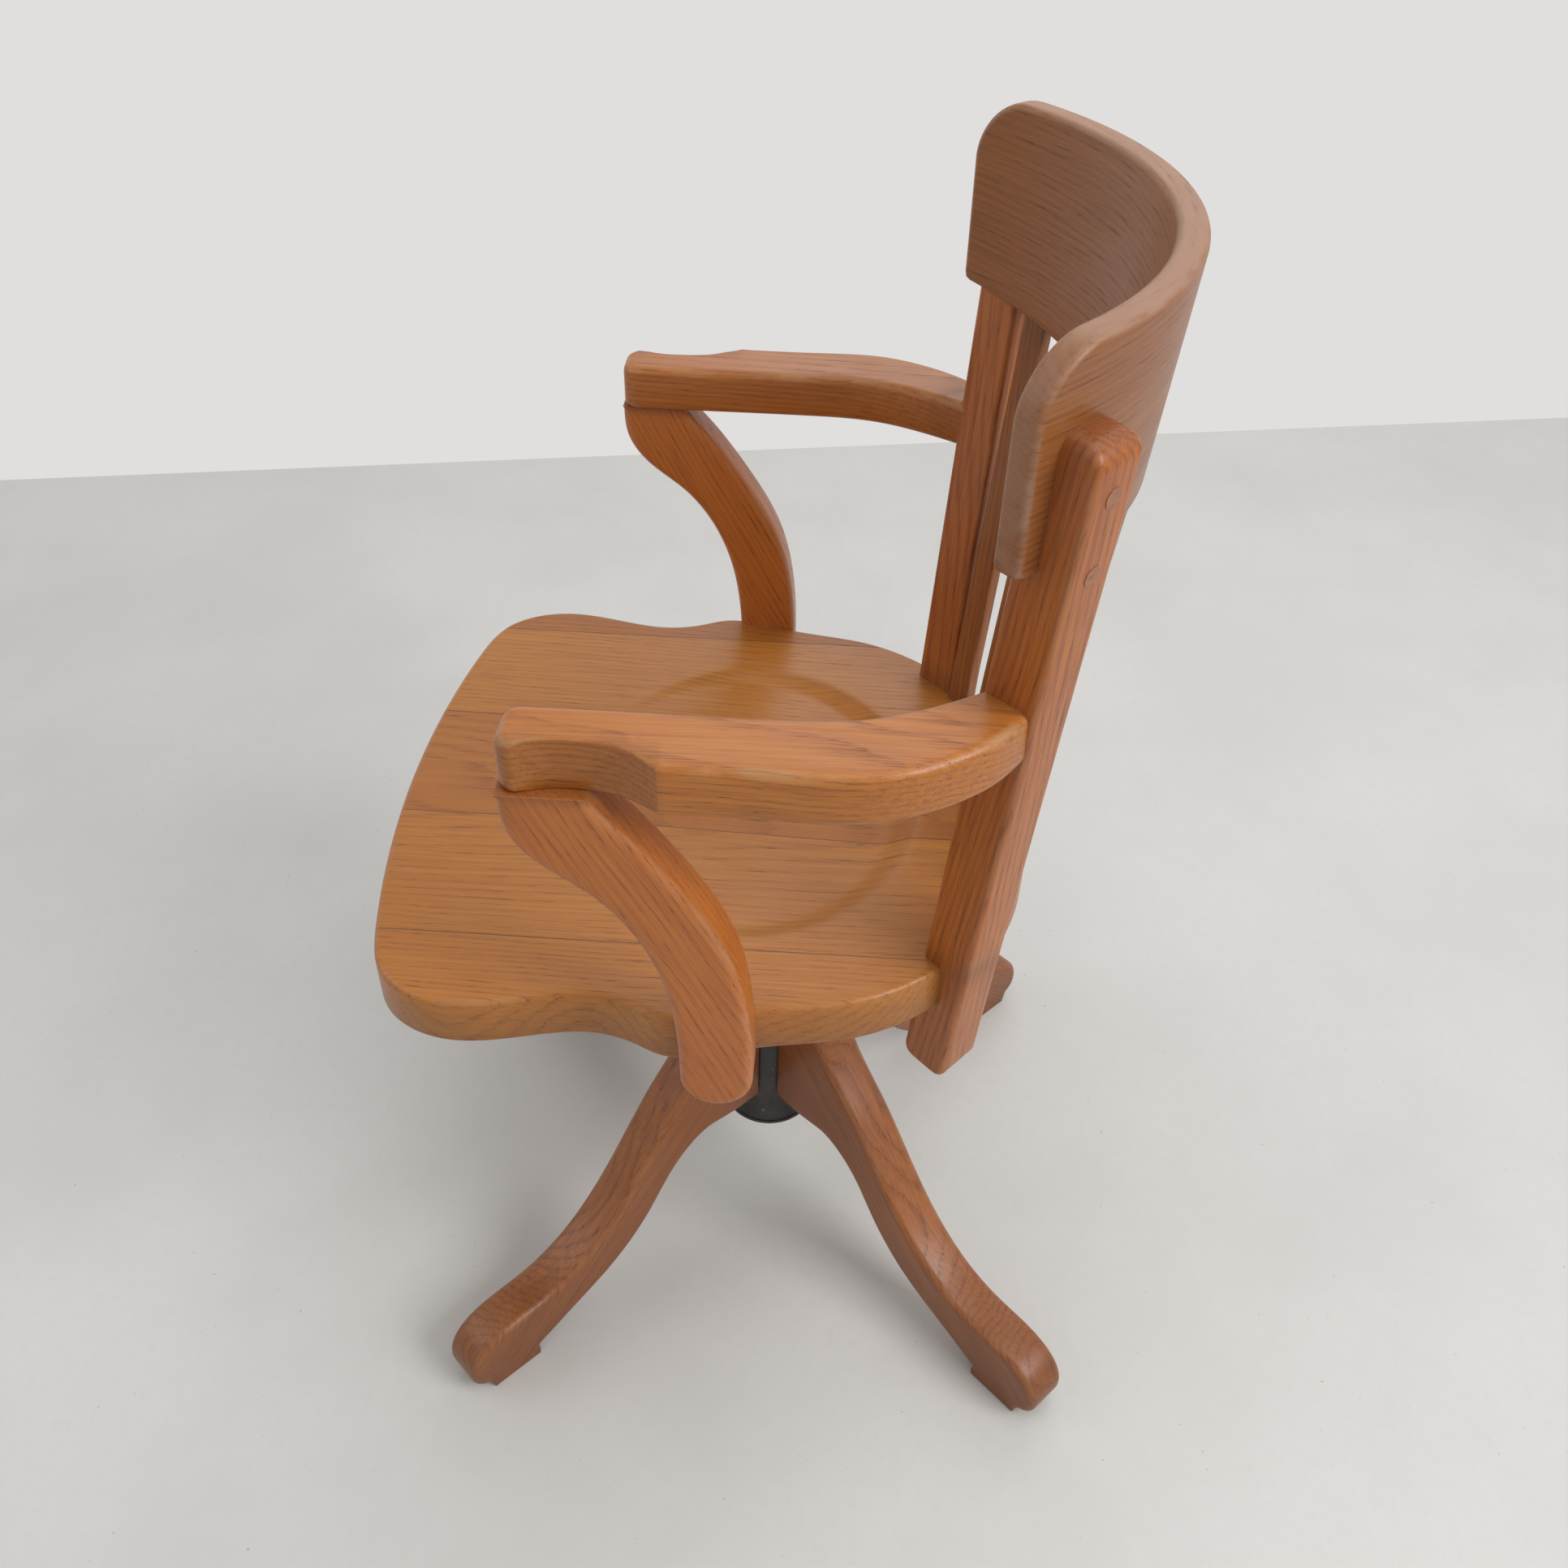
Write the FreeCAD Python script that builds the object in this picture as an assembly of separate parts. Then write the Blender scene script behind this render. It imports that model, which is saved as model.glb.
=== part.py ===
import FreeCAD, Part

import math
import os

# Bankers swivel chair in oak on a cast iron hub, in millimetres.
# +Z is up, the origin is on the swivel axis at floor level,
# the sitter faces -Y and the sitter's left hand is at +X.

V = FreeCAD.Vector
UP = V(0, 0, 1)

# General sizes
FIT_CLEARANCE = 0.05
FACE_GAP = 0.3
LONG_REACH = 1200.0

# Seat board
SEAT_TOP = 452.0
SEAT_THICKNESS = 37.0
SEAT_BOTTOM = SEAT_TOP - SEAT_THICKNESS
SEAT_FRONT = -274.0
SEAT_FRONT_RADIUS = 866.0
SEAT_CORNER_X = 206.0
SEAT_CORNER_Y = -242.0
SEAT_WIDEST_X = 228.0
SEAT_WIDEST_Y = -194.0
SEAT_WAIST_X = 214.5
SEAT_WAIST_Y = -106.0
SEAT_SHOULDER_X = 230.0
SEAT_SHOULDER_Y = -58.0
SEAT_REAR_SIDE_RADIUS = 218.0
SEAT_REAR_DEPTH = 186.0
SEAT_REAR_BULGE = 1.5
SEAT_EDGE_ROUND = 5.0
DISH_HALF_WIDTH = 154.0
DISH_HALF_LENGTH = 126.0
DISH_CENTRE_Y = -20.0
DISH_DEPTH = 9.0
DISH_WALL_RUN = 24.0

# Back posts, square timbers turned about their own length
POST_FOOT_X = 161.4
POST_FOOT_Y = 107.8
POST_SPLAY = 0.09
POST_RAKE = 0.057
POST_TURN = 42.0
POST_DEPTH = 36.5
POST_WIDTH = 36.0
POST_BOTTOM = 342.0
POST_FOOT_ROUND = 15.0
POST_HEAD_ROUND = 13.0
POST_EDGE_ROUND = 3.5

# Crest rail, a bent board
CREST_INNER_RADIUS = 270.0
CREST_THICKNESS = 18.0
CREST_AHEAD_OF_POST = 2.5
CREST_PAST_POST = 15.0
CREST_END_FLARE = 9.0
CREST_END_BOTTOM = 770.0
CREST_MIDDLE_BOTTOM = 754.0
CREST_TOP = 892.0
CREST_CORNER_RADIUS = 38.0
CREST_RAKE = 0.08
CREST_EDGE_ROUND = 4.0
POST_BELOW_CREST = 42.0
POST_TOP = CREST_TOP - POST_BELOW_CREST

# Back slats
SLAT_COUNT = 8
SLAT_PITCH_ANGLE = 12.0
SLAT_WIDTH = 20.0
SLAT_THICKNESS = 11.0
SLAT_FOOT_INSET = 13.0
SLAT_TENON = 12.0
SLAT_EDGE_ROUND = 2.0

# Arms
ARM_UNDERSIDE = 650.0
ARM_THICKNESS = 34.0
ARM_TOP = ARM_UNDERSIDE + ARM_THICKNESS
ARM_INNER_X = 215.5
ARM_OUTER_X = 265.0
ARM_NOSE_Y = -137.0
ARM_NOSE_ROUND = 12.0
ARM_STRAIGHT_FRONT_Y = -60.0
ARM_STRAIGHT_REAR_Y = 5.0
ARM_NECK_OUTER_X = 246.0
ARM_CUSP_Y = -48.5
ARM_EDGE_ROUND = 6.0
ARM_POST_BITE = 8.0
ARM_END_WIDTH = 31.0

# Arm supports, S-shaped boards
SUPPORT_INNER_X = 220.5
SUPPORT_THICKNESS = 34.0
SUPPORT_BOTTOM = 399.0
SUPPORT_FRONT_Y = -44.0
SUPPORT_REAR_Y = 2.0
SUPPORT_HEAD_FRONT_Y = -138.0
SUPPORT_HEAD_REAR_Y = -89.0
SUPPORT_FRONT_SHARES = (
    (0.021, 0.895), (0.181, 0.789), (0.479, 0.689), (0.734, 0.557), (0.904, 0.386), (0.979, 0.202))
SUPPORT_REAR_SHARES = ((0.033, 0.272), (0.187, 0.522), (0.495, 0.737), (0.846, 0.921))
SUPPORT_EDGE_ROUND = 5.5

# Legs
LEG_COUNT = 4
LEG_FIRST_ANGLE = 46.2
LEG_THICKNESS = 38.0
LEG_INNER_REACH = 30.0
LEG_HEAD_TOP = 279.0
LEG_HEAD_UNDERSIDE = 138.0
LEG_TOE_REACH = 335.0
LEG_FOOT_HEIGHT = 62.0
LEG_SHOULDER_RUN = 26.0
LEG_UNDER_RUN = 52.0
LEG_TOP_SHARES = ((0.164, 0.816), (0.295, 0.590), (0.492, 0.240), (0.672, 0.050))
LEG_UNDER_SHARES = ((0.852, 0.094), (0.587, 0.276), (0.360, 0.567), (0.190, 0.874))
LEG_EDGE_ROUND = 5.0
LEG_PAD_START = LEG_TOE_REACH - 62.0
LEG_PAD_END = LEG_TOE_REACH - 17.0
LEG_PAD_HEIGHT = 8.0

# Cast iron hub
HUB_RADIUS = 33.0
HUB_BORE_RADIUS = 20.0
HUB_TOP_FLANGE = 6.0
HUB_TOP = LEG_HEAD_TOP + HUB_TOP_FLANGE
HUB_FLANGE_RADIUS = 60.0
HUB_SKIRT_TOP = 130.0
HUB_SKIRT_BOTTOM = 104.0
HUB_RIM_RADIUS = 40.0
HUB_RIM_LIP = 3.0
HUB_SKIRT_WALL = 5.0
HUB_LUG_REACH = 66.0
HUB_LUG_WIDTH = 24.0
HUB_LUG_THICKNESS = 7.0

# Spindle and its bearings
SPINDLE_RADIUS = 14.0
SPINDLE_BOTTOM = 86.0
SPINDLE_SHOULDER = 342.0
THREAD_PITCH = 6.0
THREAD_DEPTH = 1.6
THREAD_START = 162.0
THREAD_END = 336.0
PIN_RADIUS = 11.0
KEYWAY_WIDTH = 6.0
KEYWAY_DEPTH = 4.0
KEYWAY_TOP = 300.0
BUSH_LENGTH = 28.0
KEY_SCREW_Z = 205.0
KEY_SCREW_RADIUS = 4.2
KEY_SCREW_HEAD_RADIUS = 6.0
KEY_SCREW_HEAD = 6.0
KEY_TIP_CLEARANCE = 0.1
THRUST_WASHER_THICKNESS = 2.5
THRUST_WASHER_RADIUS = 30.0
SHOULDER_WASHER_THICKNESS = 2.7
SHOULDER_WASHER_RADIUS = 20.0
RETAINING_WASHER_RADIUS = 18.0
RETAINING_WASHER_THICKNESS = 3.0
RETAINING_BOLT_HEAD_RADIUS = 8.0
RETAINING_BOLT_HEAD = 5.0
RETAINING_BOLT_RADIUS = 4.0
RETAINING_BOLT_LENGTH = 24.0

# Height wheel
WHEEL_BOTTOM = HUB_TOP + THRUST_WASHER_THICKNESS + FACE_GAP
WHEEL_BOSS_HEIGHT = 24.0
WHEEL_BOSS_RADIUS = 25.0
WHEEL_RIM_RADIUS = 58.0
WHEEL_RIM_WIDTH = 12.0
WHEEL_RIM_HEIGHT = 14.0
WHEEL_SPOKE_WIDTH = 12.0
WHEEL_SPOKE_HEIGHT = 9.0
WHEEL_SPOKE_COUNT = 4
WHEEL_GRIP_COUNT = 12
WHEEL_GRIP_RADIUS = 9.0
WHEEL_GRIP_BITE = 3.0

# Seat iron, the swivel spider under the seat
IRON_PLATE_THICKNESS = 7.0
IRON_PLATE_RADIUS = 58.0
IRON_ARM_REACH = 142.0
IRON_ARM_WIDTH = 30.0
IRON_BOSS_RADIUS = 24.0
IRON_BOSS_BOTTOM = SPINDLE_SHOULDER + SHOULDER_WASHER_THICKNESS + FACE_GAP
IRON_ARM_COUNT = 4
POCKET_RADIUS = 24.0
POCKET_DEPTH = 12.0

# Fasteners and dowels
SCREW_SHANK_RADIUS = 2.4
SCREW_HEAD_RADIUS = 5.0
SCREW_HEAD_DEPTH = 3.5
SEAT_SCREW_LENGTH = 24.0
LEG_SCREW_LENGTH = 45.0
LUG_SCREW_LENGTH = 40.0
CREST_SCREW_LENGTH = 25.0
CREST_SCREW_SHARES = (0.03, 0.41)
PLUG_RADIUS = 6.0
PLUG_DEPTH = 9.0
PLUG_STAND = 0.4
DOWEL_RADIUS = 5.0
DOWEL_LENGTH = 44.0
ARM_DOWEL_SPACING = 15.0
HEAD_DOWEL_SPACING = 22.0
SEAT_DOWEL_SPACING = 18.0


def unit(vector):
    return vector.multiply(1.0 / vector.Length)


def spline(points, start=None, end=None):
    """A smooth edge through a few points, with optional end directions."""
    curve = Part.BSplineCurve()
    if start is None or end is None:
        curve.interpolate(points)
    else:
        curve.interpolate(Points=points, InitialTangent=unit(start), FinalTangent=unit(end), Scale=False)
    return curve.toShape()


def line(a, b):
    return Part.makeLine(a, b)


def arc(a, middle, b):
    return Part.Arc(a, middle, b).toShape()


def prism(edges, travel):
    """A solid swept from a closed outline along one straight travel."""
    return Part.Face(Part.Wire(edges)).extrude(travel)


def polygon_prism(points, travel):
    return prism([line(a, b) for a, b in zip(points, points[1:] + points[:1])], travel)


def turned(points):
    """A turned solid about Z from its half outline as (radius, height) pairs."""
    outline = [V(r, 0, z) for r, z in points]
    edges = [line(a, b) for a, b in zip(outline, outline[1:] + outline[:1])]
    return Part.Face(Part.Wire(edges)).revolve(V(0, 0, 0), UP, 360)


def rod(radius, base, direction, length):
    return Part.makeCylinder(radius, length, base, direction)


def ring(outer, inner, bottom, height):
    disc = rod(outer, V(0, 0, bottom), UP, height)
    return disc.cut(rod(inner, V(0, 0, bottom - 1), UP, height + 2))


def about_axis(shape, angle):
    """A copy of a shape turned about the swivel axis."""
    copy = shape.copy()
    copy.rotate(V(0, 0, 0), UP, angle)
    return copy


def other_side(shape):
    return shape.mirror(V(0, 0, 0), V(1, 0, 0))


def both_sides(shape):
    return [shape, other_side(shape)]


def largest(shape):
    return max(shape.Solids, key=lambda solid: solid.Volume)


def group(shapes):
    return Part.makeCompound([solid for shape in shapes for solid in shape.Solids])


def less(shape, tools):
    """A shape with every tool cut from it, kept as its one largest solid."""
    for tool in tools:
        shape = shape.cut(tool)
    return largest(shape)


def edges_near(shape, test):
    return [edge for edge in shape.Edges if test(edge.BoundBox.Center, edge)]


def standing(corner, first, second, third):
    """A placement that takes X, Y and Z to three directions from a corner."""
    return FreeCAD.Placement(FreeCAD.Matrix(
        first.x, second.x, third.x, corner.x,
        first.y, second.y, third.y, corner.y,
        first.z, second.z, third.z, corner.z,
        0, 0, 0, 1))


def wood_screw(head_centre, direction, length):
    """A countersunk wood screw whose flat head lies at head_centre."""
    head = Part.makeCone(SCREW_HEAD_RADIUS, SCREW_SHANK_RADIUS, SCREW_HEAD_DEPTH, head_centre, direction)
    shank = rod(SCREW_SHANK_RADIUS, head_centre, direction, length - 4)
    tip_base = head_centre + direction * (length - 4)
    tip = Part.makeCone(SCREW_SHANK_RADIUS, 0.4, 4, tip_base, direction)
    return head.fuse([shank, tip]).removeSplitter()


# Back posts

POST_SIN = math.sin(math.radians(POST_TURN))
POST_COS = math.cos(math.radians(POST_TURN))
POST_OUT = V(POST_SIN, POST_COS, 0)
POST_AXIS = unit(V(POST_SPLAY, POST_RAKE, 1))
POST_NORMAL = unit(POST_OUT - POST_AXIS * POST_OUT.dot(POST_AXIS))
POST_ACROSS = POST_AXIS.cross(POST_NORMAL)


def post_arris(height):
    """Where the post's inner front arris is at a height."""
    rise = height - SEAT_TOP
    return V(POST_FOOT_X + POST_SPLAY * rise, POST_FOOT_Y + POST_RAKE * rise, height)


def post_face_centre(height):
    """The middle of the post's outer back face at a height."""
    return post_arris(height) + POST_NORMAL * POST_DEPTH + POST_ACROSS * (POST_WIDTH / 2)


def rounded_strip(width, length, foot_round, head_round, along, depth):
    """A board outline with rounded ends, drawn in the plane of along and Z, swept by depth."""
    f = foot_round
    h = head_round
    s = math.sqrt(0.5)

    def at(u, z):
        return along * u + V(0, 0, z)

    edges = [
        arc(at(0, f), at(f - f * s, f - f * s), at(f, 0)),
        line(at(f, 0), at(width - f, 0)),
        arc(at(width - f, 0), at(width - f + f * s, f - f * s), at(width, f)),
        line(at(width, f), at(width, length - h)),
        arc(at(width, length - h), at(width - h + h * s, length - h + h * s), at(width - h, length)),
        line(at(width - h, length), at(h, length)),
        arc(at(h, length), at(h - h * s, length - h + h * s), at(0, length - h)),
        line(at(0, length - h), at(0, f)),
    ]
    return prism(edges, depth)


def make_post():
    length = (POST_TOP - POST_BOTTOM) / POST_AXIS.z
    x_axis = V(1, 0, 0)
    y_axis = V(0, 1, 0)
    bar = Part.makeBox(POST_DEPTH, POST_WIDTH, length)
    bar = bar.makeFillet(POST_EDGE_ROUND, edges_near(bar, lambda c, e: abs(c.z - length / 2) < 1))
    front = rounded_strip(POST_DEPTH, length, POST_FOOT_ROUND, POST_HEAD_ROUND, x_axis, y_axis * POST_WIDTH)
    side = rounded_strip(POST_WIDTH, length, POST_FOOT_ROUND, POST_HEAD_ROUND, y_axis, x_axis * POST_DEPTH)
    bar = bar.common(front).common(side)
    bar.Placement = standing(post_arris(POST_BOTTOM), POST_NORMAL, POST_ACROSS, POST_AXIS)
    return largest(bar)


# Crest rail

def crest_end():
    """The post's inner arris where the crest's lower edge meets it, and the half angle there."""
    arris = post_arris(CREST_END_BOTTOM)
    return arris, math.asin((arris.x + CREST_PAST_POST) / CREST_INNER_RADIUS)


def crest_centre(height):
    """The Y of the crest's leaning centre line, set so that its inner face runs just ahead of the posts."""
    arris = crest_end()[0]
    depth = math.sqrt(CREST_INNER_RADIUS ** 2 - arris.x ** 2)
    return arris.y - CREST_AHEAD_OF_POST - depth + CREST_RAKE * (height - CREST_END_BOTTOM)


def crest_screw_heights():
    tall = CREST_TOP - CREST_END_BOTTOM
    return [CREST_END_BOTTOM + share * tall for share in CREST_SCREW_SHARES]


def crest_bottom_at(half_span):
    """The arc of the crest's lower edge, drawn in the XZ plane."""
    reach = half_span
    drop = (CREST_END_BOTTOM - CREST_MIDDLE_BOTTOM) * (reach / crest_end_x()) ** 2
    return [V(-reach, 0, CREST_MIDDLE_BOTTOM + drop), V(0, 0, CREST_MIDDLE_BOTTOM),
            V(reach, 0, CREST_MIDDLE_BOTTOM + drop)]


def crest_end_x():
    return crest_end()[0].x + CREST_PAST_POST


def raked_cylinder(radius):
    """A tall cylinder about the crest's leaning centre line."""
    low = CREST_MIDDLE_BOTTOM - 20
    high = CREST_TOP + 20
    tilt = unit(V(0, CREST_RAKE, 1))
    foot = V(0, crest_centre(low), low)
    return rod(radius, foot, tilt, (high - low) / tilt.z)


def crest_end_cutter():
    """What lies past the crest's end and above its rounded top corner."""
    angle = crest_end()[1]
    mean = CREST_INNER_RADIUS + CREST_THICKNESS / 2
    middle_z = (CREST_END_BOTTOM + CREST_TOP) / 2
    out = V(math.sin(angle), math.cos(angle), 0)
    along = V(math.cos(angle), -math.sin(angle), 0)
    end = V(0, crest_centre(middle_z), 0) + out * mean
    start = end - out * (CREST_THICKNESS * 2)
    r = CREST_CORNER_RADIUS
    low = CREST_MIDDLE_BOTTOM - 60
    high = CREST_TOP + 60
    lean = math.atan2(CREST_END_FLARE, CREST_TOP - r - CREST_END_BOTTOM)
    corner = start - along * r + V(0, 0, CREST_TOP - r)

    def on_corner(turn):
        return corner + (along * math.cos(turn) + UP * math.sin(turn)) * r

    b, mid, c = [on_corner(turn) for turn in (-lean, (math.pi / 2 - lean) / 2, math.pi / 2)]
    a = b - (along * math.tan(lean) + UP) * (b.z - low)
    d = start - along * r + V(0, 0, high)
    e = start + along * 200 + V(0, 0, high)
    f = start + along * 200 + V(0, 0, low)
    return prism([line(a, b), arc(b, mid, c), line(c, d), line(d, e), line(e, f), line(f, a)],
                 out * (CREST_THICKNESS * 4))


def make_crest():
    board = raked_cylinder(CREST_INNER_RADIUS + CREST_THICKNESS).cut(raked_cylinder(CREST_INNER_RADIUS))
    left, middle, right = crest_bottom_at(crest_end_x() * 1.3)
    high = V(0, 0, CREST_TOP)
    front_view = [
        arc(left, middle, right),
        line(right, V(right.x, 0, high.z)),
        line(V(right.x, 0, high.z), V(left.x, 0, high.z)),
        line(V(left.x, 0, high.z), left),
    ]
    board = board.common(prism(front_view, V(0, LONG_REACH, 0)))
    cutter = crest_end_cutter()
    board = less(board, both_sides(cutter))
    return largest(board.makeFillet(CREST_EDGE_ROUND, crest_rim_edges(board)))


def crest_rim_edges(board):
    """Every arris of the crest's rim, on its inner and outer faces."""
    faces = [face for face in board.Faces if face.Surface.TypeId == "Part::GeomCylinder"]
    round_faces = [face for face in faces if face.Surface.Radius > CREST_INNER_RADIUS - 1]
    return [edge for face in round_faces for edge in face.Edges]


# Slats

def slat_angles():
    middle = (SLAT_COUNT - 1) / 2
    return [(index - middle) * SLAT_PITCH_ANGLE for index in range(SLAT_COUNT)]


def crest_meeting(angle):
    """Where a slat's centre line meets the crest's lower edge, at an angle from straight back."""
    radius = CREST_INNER_RADIUS + CREST_THICKNESS / 2
    height = CREST_MIDDLE_BOTTOM
    turn = math.radians(angle)
    for _ in range(8):
        centre = crest_centre(height)
        inset = centre * math.cos(turn)
        reach = inset + math.sqrt(inset ** 2 - centre ** 2 + radius ** 2)
        x = reach * math.sin(turn)
        height = CREST_MIDDLE_BOTTOM + (CREST_END_BOTTOM - CREST_MIDDLE_BOTTOM) * (x / crest_end_x()) ** 2
    return V(x, reach * math.cos(turn), height)


def make_slat(angle):
    turn = math.radians(angle)
    out = V(math.sin(turn), math.cos(turn), 0)
    foot = out * (seat_rear_reach(angle) - SLAT_FOOT_INSET) + V(0, 0, SEAT_TOP)
    lean = unit(crest_meeting(angle) - foot)
    side = unit(out.cross(lean))
    out = lean.cross(side)
    length = (crest_meeting(angle) - foot).Length + 2 * SLAT_TENON
    bar = Part.makeBox(SLAT_WIDTH, SLAT_THICKNESS, length)
    bar = bar.makeFillet(SLAT_EDGE_ROUND, edges_near(bar, lambda c, e: abs(c.z - length / 2) < 1))
    corner = foot - lean * SLAT_TENON - side * (SLAT_WIDTH / 2) - out * (SLAT_THICKNESS / 2)
    bar.Placement = standing(corner, side, out, lean)
    return bar


# Seat board

def seat_rear_reach(angle):
    """How far the seat's rear edge lies from the swivel axis, at an angle from straight back."""
    bulge = abs(math.sin(math.radians(angle))) ** SEAT_REAR_BULGE
    return SEAT_REAR_DEPTH + (SEAT_REAR_SIDE_RADIUS - SEAT_REAR_DEPTH) * bulge


def seat_half_outline():
    """The seat's edge at +X, from the middle of the front round to the middle of the back."""
    front = []
    for x in (0.0, SEAT_CORNER_X * 0.42, SEAT_CORNER_X * 0.78):
        sag = SEAT_FRONT_RADIUS - math.sqrt(SEAT_FRONT_RADIUS ** 2 - x ** 2)
        front.append((x, SEAT_FRONT + sag))
    side = [
        (SEAT_CORNER_X, SEAT_CORNER_Y),
        (SEAT_WIDEST_X - 5, SEAT_WIDEST_Y - 24),
        (SEAT_WIDEST_X, SEAT_WIDEST_Y),
        (SEAT_WAIST_X + 5, SEAT_WAIST_Y - 36),
        (SEAT_WAIST_X, SEAT_WAIST_Y),
        (SEAT_WAIST_X + 6.5, SEAT_WAIST_Y + 27),
        (SEAT_SHOULDER_X, SEAT_SHOULDER_Y),
        (SEAT_SHOULDER_X - 4, SEAT_SHOULDER_Y + 34),
    ]
    rear = []
    for angle in (88.0, 72.0, 54.0, 36.0, 18.0, 0.0):
        turn = math.radians(angle)
        reach = seat_rear_reach(angle)
        rear.append((reach * math.sin(turn), reach * math.cos(turn)))
    return front + side + rear


def seat_blank():
    half = seat_half_outline()
    left = [(-x, y) for x, y in reversed(half[1:-1])]
    curve = Part.BSplineCurve()
    curve.interpolate(Points=[V(x, y, SEAT_BOTTOM) for x, y in half + left], PeriodicFlag=True)
    board = Part.Face(Part.Wire([curve.toShape()])).extrude(UP * SEAT_THICKNESS)
    return board.makeFillet(SEAT_EDGE_ROUND, edges_near(board, lambda c, e: abs(e.BoundBox.ZLength) < 1e-3))


def dish_tool():
    """The hollow worked into the seat, deepest towards the back."""
    scale = DISH_HALF_LENGTH / DISH_HALF_WIDTH
    spare = 2.0
    widen = DISH_WALL_RUN * spare / DISH_DEPTH
    cone = Part.makeCone(DISH_HALF_WIDTH - DISH_WALL_RUN, DISH_HALF_WIDTH + widen,
                         DISH_DEPTH + spare, V(0, 0, -DISH_DEPTH), UP)
    matrix = FreeCAD.Matrix()
    matrix.scale(1, scale, 1)
    bowl = cone.transformGeometry(matrix)
    bowl.translate(V(0, DISH_CENTRE_Y, SEAT_TOP))
    low = V(0, DISH_CENTRE_Y + DISH_HALF_LENGTH, SEAT_TOP - DISH_DEPTH)
    high = V(0, DISH_CENTRE_Y - DISH_HALF_LENGTH, SEAT_TOP)
    above = [low, high, high + UP * 60, low + UP * 60]
    wide = V(2 * DISH_HALF_WIDTH + 100, 0, 0)
    wedge = polygon_prism([point - wide * 0.5 for point in above], wide)
    return bowl.common(wedge)


def iron_pocket():
    return rod(POCKET_RADIUS, V(0, 0, SEAT_BOTTOM - 1), UP, POCKET_DEPTH + 1)


# Arms

def arm_blank():
    """The arm's plan before its front cove is cut, from the nose to inside the post."""
    inside = post_arris(ARM_TOP) + POST_ACROSS * ARM_POST_BITE
    outside = inside + POST_OUT * ARM_END_WIDTH
    z = ARM_UNDERSIDE
    inner_end = V(inside.x, inside.y, z)
    outer_end = V(outside.x, outside.y, z)
    nose_round = ARM_NOSE_ROUND
    inner_front = V(ARM_INNER_X, ARM_NOSE_Y + nose_round, z)
    inner_edge = spline([
        inner_end,
        V(ARM_INNER_X - 20, inner_end.y - 32, z),
        V(ARM_INNER_X - 5, inner_end.y - 68, z),
        V(ARM_INNER_X, ARM_STRAIGHT_REAR_Y, z),
        V(ARM_INNER_X, ARM_STRAIGHT_FRONT_Y, z),
        inner_front,
    ])
    outer_front = V(ARM_OUTER_X, ARM_NOSE_Y + nose_round, z)
    outer_edge = spline([
        outer_front,
        V(ARM_OUTER_X, ARM_STRAIGHT_FRONT_Y, z),
        V(ARM_OUTER_X, ARM_STRAIGHT_REAR_Y, z),
        V(ARM_OUTER_X - 2, outer_end.y - 84, z),
        V(ARM_OUTER_X - 17, outer_end.y - 49, z),
        V(ARM_OUTER_X - 44, outer_end.y - 16, z),
        outer_end,
    ])
    quarter = nose_round * (1 - math.sqrt(0.5))
    nose_left = arc(inner_front, V(ARM_INNER_X + quarter, ARM_NOSE_Y + quarter, z),
                    V(ARM_INNER_X + nose_round, ARM_NOSE_Y, z))
    nose_right = arc(V(ARM_OUTER_X - nose_round, ARM_NOSE_Y, z),
                     V(ARM_OUTER_X - quarter, ARM_NOSE_Y + quarter, z), outer_front)
    nose = line(V(ARM_INNER_X + nose_round, ARM_NOSE_Y, z), V(ARM_OUTER_X - nose_round, ARM_NOSE_Y, z))
    butt = line(outer_end, inner_end)
    board = prism([inner_edge, nose_left, nose, nose_right, outer_edge, butt], UP * ARM_THICKNESS)

    def rounded(centre, edge):
        level = edge.BoundBox.ZLength < 1e-3
        return level and centre.y < inner_end.y - 1 and edge.BoundBox.YMin < outer_end.y - 12

    return board.makeFillet(ARM_EDGE_ROUND, edges_near(board, rounded))


def cove_tool():
    """What the hollow outer side of the arm's front takes away."""
    low = ARM_UNDERSIDE - 5
    neck = ARM_NECK_OUTER_X
    edge = spline([
        V(ARM_OUTER_X + 4, ARM_CUSP_Y + 1, low),
        V(ARM_OUTER_X - 7, ARM_CUSP_Y - 8, low),
        V(neck + 3, ARM_CUSP_Y - 24, low),
        V(neck, ARM_CUSP_Y - 44, low),
        V(neck + 2, ARM_CUSP_Y - 68, low),
        V(neck + 9, ARM_NOSE_Y - 6, low),
    ])
    far = ARM_OUTER_X + 40
    a = V(ARM_OUTER_X + 4, ARM_CUSP_Y + 1, low)
    b = V(neck + 9, ARM_NOSE_Y - 6, low)
    return prism([edge, line(b, V(far, b.y, low)), line(V(far, b.y, low), V(far, a.y, low)),
                  line(V(far, a.y, low), a)], UP * (ARM_THICKNESS + 10))


def make_arm(post):
    return less(arm_blank().cut(cove_tool()), [post])


# Arm supports

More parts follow.
